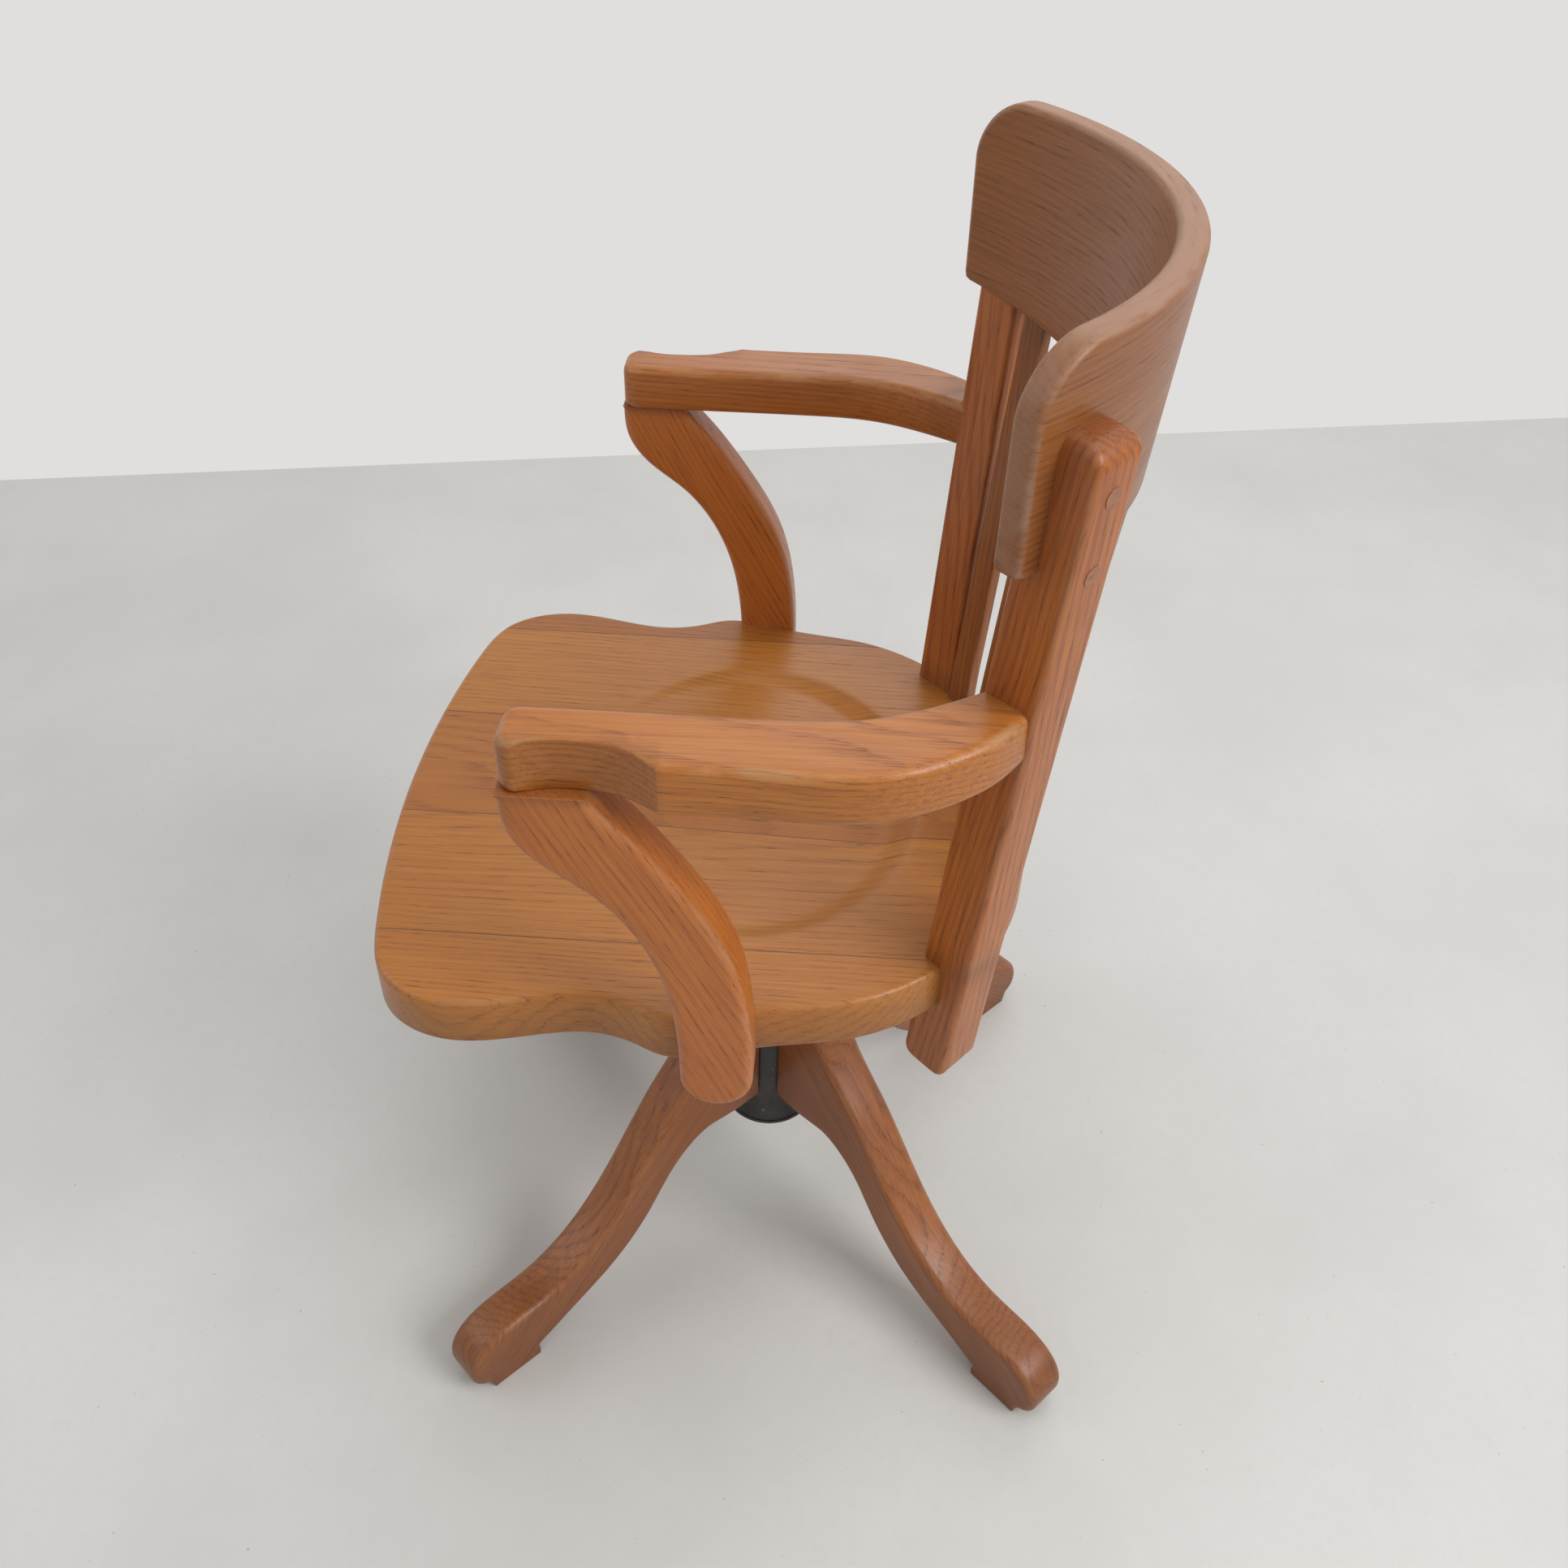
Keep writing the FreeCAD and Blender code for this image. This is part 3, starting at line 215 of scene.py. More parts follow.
class Bench:
    """The node tree of a material or of the world, with the few moves that finishes need."""

    def __init__(self, owner: Union[bpy.types.Material, bpy.types.World]) -> None:
        """Empties the owner's tree.

        Args:
            owner: the material or world that the nodes are for.
        """
        self.owner = owner
        self.owner.use_nodes = True
        self.tree = self.owner.node_tree
        self.tree.nodes.clear()

    def node(self, kind: str, settings: dict[str, Any], inputs: dict[Union[int, str], Any],
             output: Union[int, str] = 0) -> Channel:
        """Adds one node of any type.

        Args:
            kind: the node's type.
            settings: its properties, set before its sockets.
            inputs: socket name or number, and the value or channel for it.
            output: the socket that is wanted back.

        Returns:
            The wanted output as a channel.
        """
        made = self.tree.nodes.new(kind)
        for key, value in settings.items():
            setattr(made, key, value)
        for key, value in inputs.items():
            if isinstance(value, Channel):
                self.tree.links.new(value.socket, made.inputs[key])
            elif isinstance(value, tuple) and len(value) == 3 and made.inputs[key].type == "RGBA":
                made.inputs[key].default_value = (*value, 1.0)
            else:
                made.inputs[key].default_value = value
        return Channel(self, made.outputs[output] if made.outputs else None)

    def attribute(self, name: str, output: str) -> Channel:
        """A value stored on the mesh."""
        return self.node("ShaderNodeAttribute", {"attribute_name": name}, {}, output)

    def place(self) -> Channel:
        """Where a point is in its own object, in metres."""
        return self.node("ShaderNodeTexCoord", {}, {}, "Object")

    def split(self, vector: Channel) -> tuple[Channel, Channel, Channel]:
        """The three parts of a vector.

        Args:
            vector: the channel to take apart.

        Returns:
            Its X, Y and Z.
        """
        first = self.node("ShaderNodeSeparateXYZ", {}, {0: vector}, 0)
        outputs = first.socket.node.outputs
        return first, Channel(self, outputs[1]), Channel(self, outputs[2])

    def join(self, x: Union[Channel, Number], y: Union[Channel, Number],
             z: Union[Channel, Number]) -> Channel:
        """A vector from three parts."""
        return self.node("ShaderNodeCombineXYZ", {}, {0: x, 1: y, 2: z})

    def noise(self, vector: Channel, scale: float = 1.0, detail: float = 2.0,
              roughness: float = 0.5) -> Channel:
        """Soft random mottling from 0 to 1.

        Args:
            vector: where to read it.
            scale: how many swells there are to a unit.
            detail: how many finer layers are added.
            roughness: how strong those layers are.

        Returns:
            The mottling's value.
        """
        inputs = {"Vector": vector, "Scale": scale, "Detail": detail, "Roughness": roughness}
        return self.node("ShaderNodeTexNoise", {}, inputs, 0)

    def cells(self, vector: Channel) -> Channel:
        """The distance to the nearest of many scattered points."""
        inputs = {"Vector": vector, "Scale": 1.0}
        return self.node("ShaderNodeTexVoronoi", {"feature": "F1"}, inputs, "Distance")

    def tint(self, amount: Union[Channel, float], under: Union[Channel, Colour],
             over: Union[Channel, Colour]) -> Channel:
        """Lays one colour over another.

        Args:
            amount: how much of the upper colour shows.
            under: the lower colour.
            over: the upper colour.

        Returns:
            The blended colour.
        """
        settings = {"data_type": "RGBA", "clamp_factor": True}
        return self.node("ShaderNodeMix", settings, {0: amount, 6: under, 7: over}, 2)

    def surface(self, sockets: dict[str, Any], height: Channel, depth: float,
                strength: float) -> bpy.types.Material:
        """Closes the material with its surface shader.

        Args:
            sockets: the shader's values and channels by socket name.
            height: the relief that bends the light, from 0 to 1.
            depth: how deep that relief is, in metres.
            strength: how much of it shows.

        Returns:
            The finished material.
        """
        relief = {"Strength": strength, "Distance": depth, "Height": height}
        normal = self.node("ShaderNodeBump", {}, relief)
        shader = self.node("ShaderNodeBsdfPrincipled", {}, {**sockets, "Normal": normal})
        self.node("ShaderNodeOutputMaterial", {}, {"Surface": shader})
        return self.owner


@dataclass(frozen=True)
class OakFinish:
    """Stained and varnished oak, coloured and worn along its grain.

    The grain vector of a mesh gives metres along the grain, across it and into the board.
    """

    name: str
    pale: Colour
    warm: Colour
    brown: Colour
    pore: Colour = (0.055, 0.022, 0.008)
    bare: Colour = (0.45, 0.27, 0.15)
    cut: Cut = Cut.PLAIN
    ring_spacing: float = 0.0042
    board_width: float = 0.0
    figure: float = 0.6
    fleck: float = 0.15
    pores: float = 0.85
    wear: float = 0.35
    rim_wear: float = 0.0
    # How strongly the stored mask of dirt and painted shade darkens the wood.
    grime: float = 0.6
    roughness: float = 0.36
    coat: float = 0.12

    def dress(self) -> bpy.types.Material:
        """Builds the material.

        Returns:
            The finished oak.
        """
        bench = Bench(bpy.data.materials.new(self.name))
        along, across, deep = bench.split(bench.attribute("grain", "Vector"))
        joint: Union[Channel, float] = 0.0
        if self.board_width:
            counted = across / self.board_width + 0.37
            board = counted.floor()
            board_tone = bench.node("ShaderNodeTexWhiteNoise", {"noise_dimensions": "1D"}, {"W": board}, 0)
            along = along + board_tone * 1.7
            deep = deep + board_tone * 0.31
            nearness = abs(counted.fract() - 0.5)
            joint = nearness.ramp(0.4945, 0.4985)
        drift = bench.noise(bench.join(along * 3.1, across * 11.0, deep * 11.0), 1.0, 2.0)
        bent = across + (drift - 0.5) * 0.020
        pith_across, pith_deep = self.cut.value
        from_pith = bent + pith_across + along * 0.035
        below = deep + pith_deep + (drift - 0.5) * 0.012 + along * 0.05
        radius = (from_pith * from_pith + below * below).root()
        spread = bench.noise(bench.join(along * 1.6, across * 30.0, deep * 30.0), 1.0, 3.0)
        rings = (radius / self.ring_spacing + spread * 1.5).fract()
        early = rings.ramp(0.62, 0.98) * rings.ramp(1.0, 0.97)
        late = rings.ramp(0.05, 0.45) * rings.ramp(0.75, 0.45)

        stripe = bench.noise(bench.join(along * 7.0, bent * 330.0, deep * 330.0), 1.0, 3.0, 0.62)
        fine = bench.noise(bench.join(along * 26.0, bent * 1500.0, deep * 1500.0), 1.0, 2.0, 0.55)
        dashes = bench.cells(bench.join(along * 62.0, bent * 1150.0, deep * 1150.0))
        open_pores = dashes.ramp(0.36, 0.14) * (early * 0.75 + 0.25) * stripe.ramp(0.38, 0.60)
        long_pores = fine.ramp(0.44, 0.30) * (early * 0.8 + 0.2)
        pore = (open_pores.most(long_pores) * self.pores).least(1.0)

        cloud = bench.noise(bench.join(along * 2.4, across * 7.0, deep * 7.0), 1.0, 3.0)
        blotch = bench.noise(bench.join(along * 9.0, across * 26.0, deep * 26.0), 1.0, 3.0, 0.6)
        colour = bench.tint(cloud.ramp(0.30, 0.70), self.warm, self.pale)
        thread = bench.noise(bench.join(along * 11.0, bent * 720.0, deep * 720.0), 1.0, 3.0, 0.6)
        streaks = (stripe.ramp(0.36, 0.72) * 0.55 + thread.ramp(0.42, 0.70) * 0.65) * self.figure
        colour = bench.tint(streaks, colour, self.brown)
        colour = bench.tint(late * self.figure * 0.35, colour, self.pale)
        colour = bench.tint(early * self.figure * 0.45, colour, self.brown)
        lens = bench.cells(bench.join(along * 120.0, bent * 95.0, deep * 520.0))
        rays = lens.ramp(0.30, 0.16) * blotch.ramp(0.42, 0.58) * self.fleck
        colour = bench.tint(rays, colour, self.pale)
        colour = bench.tint(blotch.ramp(0.56, 0.80) * 0.35, colour, self.brown)
        if self.board_width:
            colour = bench.tint(board_tone * 0.45, colour, self.brown)
            colour = bench.tint((1.0 - board_tone) * 0.25, colour, self.pale)
            colour = bench.tint(joint * 0.75, colour, self.pore)
        colour = bench.tint(pore, colour, self.pore)

        edge = bench.attribute("edge", "Fac")
        rim = bench.attribute("rim", "Fac")
        dirt_and_shade_mask = bench.attribute("grime", "Fac")
        rub = bench.noise(bench.join(along * 22.0, across * 60.0, deep * 60.0), 1.0, 4.0, 0.62)
        rubbed = edge * rub.ramp(0.40, 0.62) * self.wear
        worn = (rubbed + rim * rub.ramp(0.22, 0.55) * self.rim_wear).least(1.0)
        colour = bench.tint(worn, colour, self.bare)
        # Dirt and painted shade: the stored mask darkens the wood towards the pore colour near joints, in
        # creases and underneath.
        soiled_and_shaded = (dirt_and_shade_mask * self.grime * rub.ramp(0.20, 0.70, 0.75, 1.0)).least(1.0)
        colour = bench.tint(soiled_and_shaded, colour, self.pore)

        gloss = bench.noise(bench.join(along * 30.0, across * 45.0, deep * 45.0), 1.0, 2.0)
        rough = self.roughness + (gloss - 0.5) * 0.16 + pore * 0.18 + worn * 0.25 + soiled_and_shaded * 0.15
        coat = (1.0 - worn * 0.9 - pore * 0.5).most(0.0) * self.coat
        relief = 0.75 - pore * 0.55 - stripe * 0.16 - rim * self.rim_wear * (1.0 - fine) * 0.6 - joint * 0.5
        sockets = {
            "Base Color": colour,
            "Roughness": rough.least(0.95).most(0.05),
            "Coat Weight": coat,
            "Coat Roughness": 0.24,
            "Coat IOR": 1.48,
            "IOR": 1.46,
        }
        return bench.surface(sockets, relief, 0.0005, 0.55)


@dataclass(frozen=True)
class IronFinish:
    """Black painted castings, rubbed to grey metal on their high spots."""

    name: str = "black_iron"
    paint: Colour = (0.020, 0.017, 0.018)
    dusty: Colour = (0.075, 0.062, 0.060)
    metal: Colour = (0.22, 0.20, 0.19)
    grain: float = 420.0

    def dress(self) -> bpy.types.Material:
        """Builds the material.

        Returns:
            The painted iron.
        """
        bench = Bench(bpy.data.materials.new(self.name))
        spot = bench.place()
        sand = bench.noise(spot, self.grain, 3.0, 0.6)
        film = bench.noise(spot, 38.0, 4.0, 0.6)
        chips = bench.noise(spot, 150.0, 3.0, 0.7).ramp(0.66, 0.72)
        colour = bench.tint(film.ramp(0.42, 0.75) * 0.7, self.paint, self.dusty)
        colour = bench.tint(chips, colour, self.metal)
        rough = 0.42 + film * 0.25 - chips * 0.12
        sockets = {
            "Base Color": colour,
            "Metallic": chips * 0.85,
            "Roughness": rough,
            "Coat Weight": (1.0 - chips) * 0.25,
            "Coat Roughness": 0.30,
        }
        return bench.surface(sockets, sand * 0.7 + film * 0.3, 0.0008, 0.5)


@dataclass(frozen=True)
class TurnedMetalFinish:
    """Turned metal with fine tool marks and a little tarnish."""

    name: str
    bright: Colour
    tarnish: Colour
    roughness: float = 0.34

    def dress(self) -> bpy.types.Material:
        """Builds the material.

        Returns:
            The turned metal.
        """
        bench = Bench(bpy.data.materials.new(self.name))
        spot = bench.place()
        x, y, z = bench.split(spot)
        lines = bench.noise(bench.join(x * 25.0, y * 25.0, z * 4200.0), 1.0, 2.0)
        stain = bench.noise(spot, 60.0, 4.0, 0.6).ramp(0.40, 0.72)
        colour = bench.tint(stain * 0.8, self.bright, self.tarnish)
        rough = self.roughness + lines * 0.12 + stain * 0.22
        sockets = {"Base Color": colour, "Metallic": 1.0 - stain * 0.25, "Roughness": rough}
        return bench.surface(sockets, lines, 0.0001, 0.5)


@dataclass(frozen=True)
class PlugFinish:
    """A varnished wooden plug whose grain runs across the post's."""

    name: str = "oak_plug"
    wood: Colour = (0.36, 0.145, 0.062)
    dark: Colour = (0.16, 0.060, 0.025)

    def dress(self) -> bpy.types.Material:
        """Builds the material.

        Returns:
            The plug's wood.
        """
        bench = Bench(bpy.data.materials.new(self.name))
        x, y, z = bench.split(bench.place())
        lines = bench.noise(bench.join(x * 160.0, y * 160.0, z * 1300.0), 1.0, 3.0, 0.6)
        cloud = bench.noise(bench.join(x, y, z), 120.0, 2.0)
        colour = bench.tint(lines.ramp(0.40, 0.66) * 0.7, self.wood, self.dark)
        colour = bench.tint(cloud.ramp(0.5, 0.8) * 0.4, colour, self.dark)
        sockets = {"Base Color": colour, "Roughness": 0.42 + lines * 0.15, "Coat Weight": 0.2,
                   "Coat Roughness": 0.25}
        return bench.surface(sockets, 1.0 - lines, 0.0003, 0.5)


@dataclass(frozen=True)
class FloorFinish:
    """A plain pale floor with faint mottling and a few dark specks of grit."""

    name: str = "pale_floor"
    light: Colour = (0.655, 0.648, 0.625)
    shade: Colour = (0.615, 0.607, 0.585)
    speck: Colour = (0.22, 0.21, 0.20)
    specks: float = 0.8

    def dress(self) -> bpy.types.Material:
        """Builds the material.

        Returns:
            The floor's surface.
        """
        bench = Bench(bpy.data.materials.new(self.name))
        spot = bench.place()
        wash = bench.noise(spot, 3.0, 5.0, 0.6)
        dust = bench.noise(spot, 95.0, 3.0, 0.7)
        grit = bench.noise(spot, 210.0, 2.0, 0.6).ramp(0.735, 0.78)
        colour = bench.tint(wash.ramp(0.35, 0.68), self.light, self.shade)
        colour = bench.tint(dust.ramp(0.45, 0.75) * 0.5, colour, self.shade)
        colour = bench.tint(grit * self.specks, colour, self.speck)
        sockets = {"Base Color": colour, "Roughness": 0.66 + wash * 0.12}
        return bench.surface(sockets, dust, 0.0006, 0.2)


# Outlines


def smooth_line(points: Sequence[Point], count: int,
                start: Optional[Point] = None,
                end: Optional[Point] = None) -> Array:
    """A cubic curve through points, cut into even steps.

    Args:
        points: where the curve passes.
        count: how many steps to cut it into.
        start: its direction at the first point, or None where it is free.
        end: its direction at the last point, or None where it is free.

    Returns:
        The count + 1 points along the curve.
    """
    knots = np.array(points, float)
    spans = np.linalg.norm(np.diff(knots, axis=0), axis=1)
    total = len(knots)
    system = np.zeros((total, total))
    right = np.zeros((total, 2))
    system[0, :2], right[0] = (2.0, 1.0), 3.0 * (knots[1] - knots[0]) / spans[0]
    system[-1, -2:], right[-1] = (1.0, 2.0), 3.0 * (knots[-1] - knots[-2]) / spans[-1]
    for i in range(1, total - 1):
        before, after = spans[i - 1], spans[i]
        system[i, i - 1:i + 2] = (after, 2.0 * (before + after), before)
        right[i] = 3.0 * (after * (knots[i] - knots[i - 1]) / before
                          + before * (knots[i + 1] - knots[i]) / after)
    for row, direction in ((0, start), (-1, end)):
        if direction is not None:
            system[row] = 0.0
            system[row, row] = 1.0
            right[row] = np.array(direction) / np.linalg.norm(direction)
    speeds = np.linalg.solve(system, right)
    dense = []
    for i, span in enumerate(spans):
        t = np.linspace(0.0, 1.0, 60, endpoint=False)[:, None]
        dense.append((2 * t**3 - 3 * t**2 + 1) * knots[i] + (t**3 - 2 * t**2 + t) * span * speeds[i]
                     + (3 * t**2 - 2 * t**3) * knots[i + 1] + (t**3 - t**2) * span * speeds[i + 1])
    dense.append(knots[-1:])
    return even_steps(np.vstack(dense), count)


def even_steps(line: Array, count: int) -> Array:
    """The same line cut into a number of even steps."""
    return stretched(line, np.linspace(0.0, 1.0, count + 1))


def arc_line(centre: Point, radius: float, start: float, end: float, count: int) -> Array:
    """Points on an arc.

    Args:
        centre: the arc's centre.
        radius: its radius.
        start: its first angle, in degrees.
        end: its last angle, in degrees.
        count: how many steps to cut it into.

    Returns:
        The count + 1 points.
    """
    turn = np.radians(np.linspace(start, end, count + 1))
    return np.column_stack([centre[0] + radius * np.cos(turn), centre[1] + radius * np.sin(turn)])


def chain(*lines: Array) -> Array:
    """Joins lines end to end, dropping each repeated point."""
    parts = [lines[0]]
    for line in lines[1:]:
        gap = np.linalg.norm(line[0] - parts[-1][-1])
        parts.append(line[1:] if gap < 1e-6 else line)
    return np.vstack(parts)


def stretched(line: Array, ease: Array) -> Array:
    """A line cut again at given shares of its length.

    Args:
        line: points along it.
        ease: the wanted shares, from 0 to 1.

    Returns:
        The line's points at those shares.
    """
    run = run_along(line)
    return np.column_stack([np.interp(ease * run[-1], run, line[:, k]) for k in range(line.shape[1])])


def run_along(line: Array) -> Array:
    """How far along a line each of its points lies."""
    return np.concatenate([[0.0], np.cumsum(np.linalg.norm(np.diff(line, axis=0), axis=1))])


def shared_out(shares: Shares, first: Point, last: Point) -> list[Point]:
    """Points at given shares of the way between two corners.

    Args:
        shares: for each point, its share across and its share up.
        first: the corner where both shares are 0.
        last: the corner where both are 1.

    Returns:
        The points.
    """
    return [(first[0] + across * (last[0] - first[0]), first[1] + up * (last[1] - first[1]))
            for across, up in shares]


Placer = Callable[[Array, Array, Array], Array]


@dataclass
class Board:
    """A slab drawn by four sides, with rounded arrises, laid out as quads and then put in its place.

    The lower and upper sides run the same way and have as many steps as each other, and so have the two ends.
    """

    name: str
    lower: Array
    upper: Array
    start: Array
    finish: Array
    thickness: float
    round_lower: Union[float, Array] = 0.005
    round_upper: Union[float, Array] = 0.005
    round_start: float = 0.005
    round_finish: float = 0.005
    back_share: float = 1.0
    steps: int = 5
    grain_angle: float = 0.0
    grain_origin: tuple[float, float, float] = (0.0, 0.0, 0.0)

    def _loop(self) -> tuple[Array, Array]:
        """The outline once round, and the rounding radius at each of its points."""
        def radii(value: Union[float, Array], count: int) -> Array:
            return np.broadcast_to(np.asarray(value, float), (count,)).copy()

        sides = (self.lower, self.finish, self.upper[::-1], self.start[::-1])
        values = (radii(self.round_lower, len(self.lower)), radii(self.round_finish, len(self.finish)),
                  radii(self.round_upper, len(self.upper))[::-1], radii(self.round_start, len(self.start)))
        points = np.vstack([side[:-1] for side in sides])
        radius = np.concatenate([value[:-1] for value in values])
        corners = np.cumsum([0] + [len(side) - 1 for side in sides[:-1]])
        for k, corner in enumerate(corners):
            radius[corner] = min(values[k][0], values[k - 1][-1])
        return points, radius

    def _outward(self, points: Array) -> Array:
        """Unit normals of the outline, away from the slab."""
        along = np.roll(points, -1, axis=0) - np.roll(points, 1, axis=0)
        along /= np.maximum(np.linalg.norm(along, axis=1), 1e-12)[:, None]
        normal = np.column_stack([along[:, 1], -along[:, 0]])
        x, y = points.T
        area = 0.5 * np.sum(x * np.roll(y, -1) - np.roll(x, -1) * y)
        return normal if area > 0 else -normal

    def _patch(self, ring: Array) -> Array:
        """The face inside a ring, as a grid between its four sides."""
        m, k = len(self.lower) - 1, len(self.start) - 1
        closed = np.vstack([ring, ring[:1]])
        low = closed[:m + 1]
        end = closed[m:m + k + 1]
        top = closed[m + k:2 * m + k + 1][::-1]
        begin = closed[2 * m + k:][::-1]
        u = np.linspace(0.0, 1.0, m + 1)[:, None, None]
        v = np.linspace(0.0, 1.0, k + 1)[None, :, None]
        across = (1 - v) * low[:, None, :] + v * top[:, None, :]
        length = (1 - u) * begin[None, :, :] + u * end[None, :, :]
        corners = ((1 - u) * (1 - v) * low[0] + u * (1 - v) * low[-1]
                   + (1 - u) * v * top[0] + u * v * top[-1])
        return (across + length - corners).reshape(-1, 2)

    def _ring_indices(self, base: int) -> Array:
        """Grid indices of the patch's border, in the outline's order."""
        m, k = len(self.lower) - 1, len(self.start) - 1
        grid = base + np.arange((m + 1) * (k + 1)).reshape(m + 1, k + 1)
        return np.concatenate([grid[:-1, 0], grid[-1, :-1], grid[:0:-1, -1], grid[0, :0:-1]])

    def build(self, place: Placer) -> bpy.types.Object:
        """Makes the mesh.

        Args:
            place: takes the slab's own X, Y and depth to points in the chair's frame.

        Returns:
            The new object, with grain, edge, rim and a mask of dirt and painted shade stored on its points.
        """
        points, radius = self._loop()
        normal = self._outward(points)
        half = self.thickness / 2
        front_radius = np.minimum(radius, half * 0.98)
        back_radius = np.minimum(radius * self.back_share, half * 0.98)
        m, k = len(self.lower) - 1, len(self.start) - 1
        size = (m + 1) * (k + 1)
        around = len(points)
        flat, depth, edge, rim = [], [], [], []

        def add(where: Array, level: Array, edge_value: float, rim_value: float) -> None:
            flat.append(where)
            depth.append(np.broadcast_to(level, (len(where),)))
            edge.append(np.full(len(where), edge_value))
            rim.append(np.full(len(where), rim_value))

        add(self._patch(points - normal * front_radius[:, None]), np.array(half), 0.0, 0.0)
        add(self._patch(points - normal * back_radius[:, None]), np.array(-half), 0.0, 0.0)
        turns = np.linspace(0.0, math.pi / 2, self.steps + 1)
        rings = []
        for turn in turns[1:]:
            inset = points - normal * (front_radius * (1 - math.sin(turn)))[:, None]
            rings.append((inset, half - front_radius * (1 - math.cos(turn)), turn))
        for turn in turns[1:][::-1]:
            inset = points - normal * (back_radius * (1 - math.sin(turn)))[:, None]
            rings.append((inset, -half + back_radius * (1 - math.cos(turn)), turn))
        for where, level, turn in rings:
            add(where, level, math.sin(2 * turn), math.sin(turn))

        xy, w = np.vstack(flat), np.concatenate(depth)
        faces = []
        for side, base in enumerate((0, size)):
            grid = base + np.arange(size).reshape(m + 1, k + 1)
            quads = np.stack([grid[:-1, :-1], grid[1:, :-1], grid[1:, 1:], grid[:-1, 1:]], -1).reshape(-1, 4)
            faces.append(quads if side == 0 else quads[:, ::-1])
        loops = [self._ring_indices(0)]
        loops += [2 * size + number * around + np.arange(around) for number in range(len(rings))]
        loops.append(self._ring_indices(size))
        for upper, lower in zip(loops, loops[1:]):
            faces.append(np.stack([upper, lower, np.roll(lower, -1), np.roll(upper, -1)], -1))
        verts = place(xy[:, 0], xy[:, 1], w)
        made = new_object(self.name, verts, np.vstack(faces))
        cos, sin = math.cos(self.grain_angle), math.sin(self.grain_angle)
        grain = np.column_stack([xy[:, 0] * cos + xy[:, 1] * sin, xy[:, 1] * cos - xy[:, 0] * sin, w])
        store(made, "grain", grain + np.array(self.grain_origin))
        store(made, "edge", np.concatenate(edge))
        store(made, "rim", np.concatenate(rim))
        # Empty mask of dirt and painted shade, filled in when the piece is dressed.
        store(made, "grime", np.zeros(len(w)))
        return made


def new_object(name: str, verts: Array, faces: Array) -> bpy.types.Object:
    """A mesh object from points and quads, its faces turned outwards and shaded smooth.

    Args:
        name: the piece's name.
        verts: its points, in metres.
        faces: four point numbers for each face.

    Returns:
        The object, linked into the scene.
    """
    mesh = bpy.data.meshes.new(name)
    mesh.from_pydata(verts.tolist(), [], faces.tolist())
    mesh.validate()
    work = bmesh.new()
    work.from_mesh(mesh)
    bmesh.ops.recalc_face_normals(work, faces=work.faces)
    work.to_mesh(mesh)
    work.free()
    mesh.shade_smooth()
    mesh.set_sharp_from_angle(angle=BOARD_SHARP)
    made = bpy.data.objects.new(name, mesh)
    bpy.context.scene.collection.objects.link(made)
    return made


def store(piece: bpy.types.Object, name: str, values: Array) -> None:
    """Stores a value or vector on each of a piece's points.

    Args:
        piece: the mesh object.
        name: the attribute's name.
        values: one row for each point.
    """
    kind = "FLOAT_VECTOR" if values.ndim == 2 else "FLOAT"
    key = "vector" if values.ndim == 2 else "value"
    attributes = piece.data.attributes
    layer = attributes.get(name) or attributes.new(name, kind, "POINT")
    layer.data.foreach_set(key, np.ascontiguousarray(values, np.float32).ravel())


def points_of(piece: bpy.types.Object) -> Array:
    """A piece's points, one row each, in metres."""
    co = np.zeros(len(piece.data.vertices) * 3, np.float32)
    piece.data.vertices.foreach_get("co", co)
    return co.reshape(-1, 3).astype(float)


def carve(piece: bpy.types.Object, *cutters: bpy.types.Object) -> None:
    """Cuts the shapes of other pieces from a piece, so that they meet without passing through.

    Args:
        piece: the mesh object that is cut.
        cutters: the pieces whose room is taken from it.
    """
    for cutter in cutters:
        cut = piece.modifiers.new("cut", "BOOLEAN")
        cut.operation = "DIFFERENCE"
        cut.solver = "EXACT"
        cut.object = cutter
    graph = bpy.context.evaluated_depsgraph_get()
    result = bpy.data.meshes.new_from_object(piece.evaluated_get(graph))
    piece.modifiers.clear()
    old = piece.data
    piece.data = result
    bpy.data.meshes.remove(old)
    result.name = piece.name
    result.shade_smooth()
    result.set_sharp_from_angle(angle=CUT_SHARP)


def settle(piece: bpy.types.Object, body: Body, slot: Slot, finish: bpy.types.Material,
           *nodes: str) -> None:
    """Dresses a piece and sets it on its body in the place of its nodes.

    Args:
        piece: the mesh object.
        body: the body that it rides on.
        slot: the record's material slot; not used.
        finish: its material.
        nodes: the nodes that it stands for.
    """
    piece.data.materials.clear()
    piece.data.materials.append(finish)
    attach(piece, body.value)
    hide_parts(*nodes)
    LOG.info("%s: %d points", piece.name, len(piece.data.vertices))


# Sub-assemblies


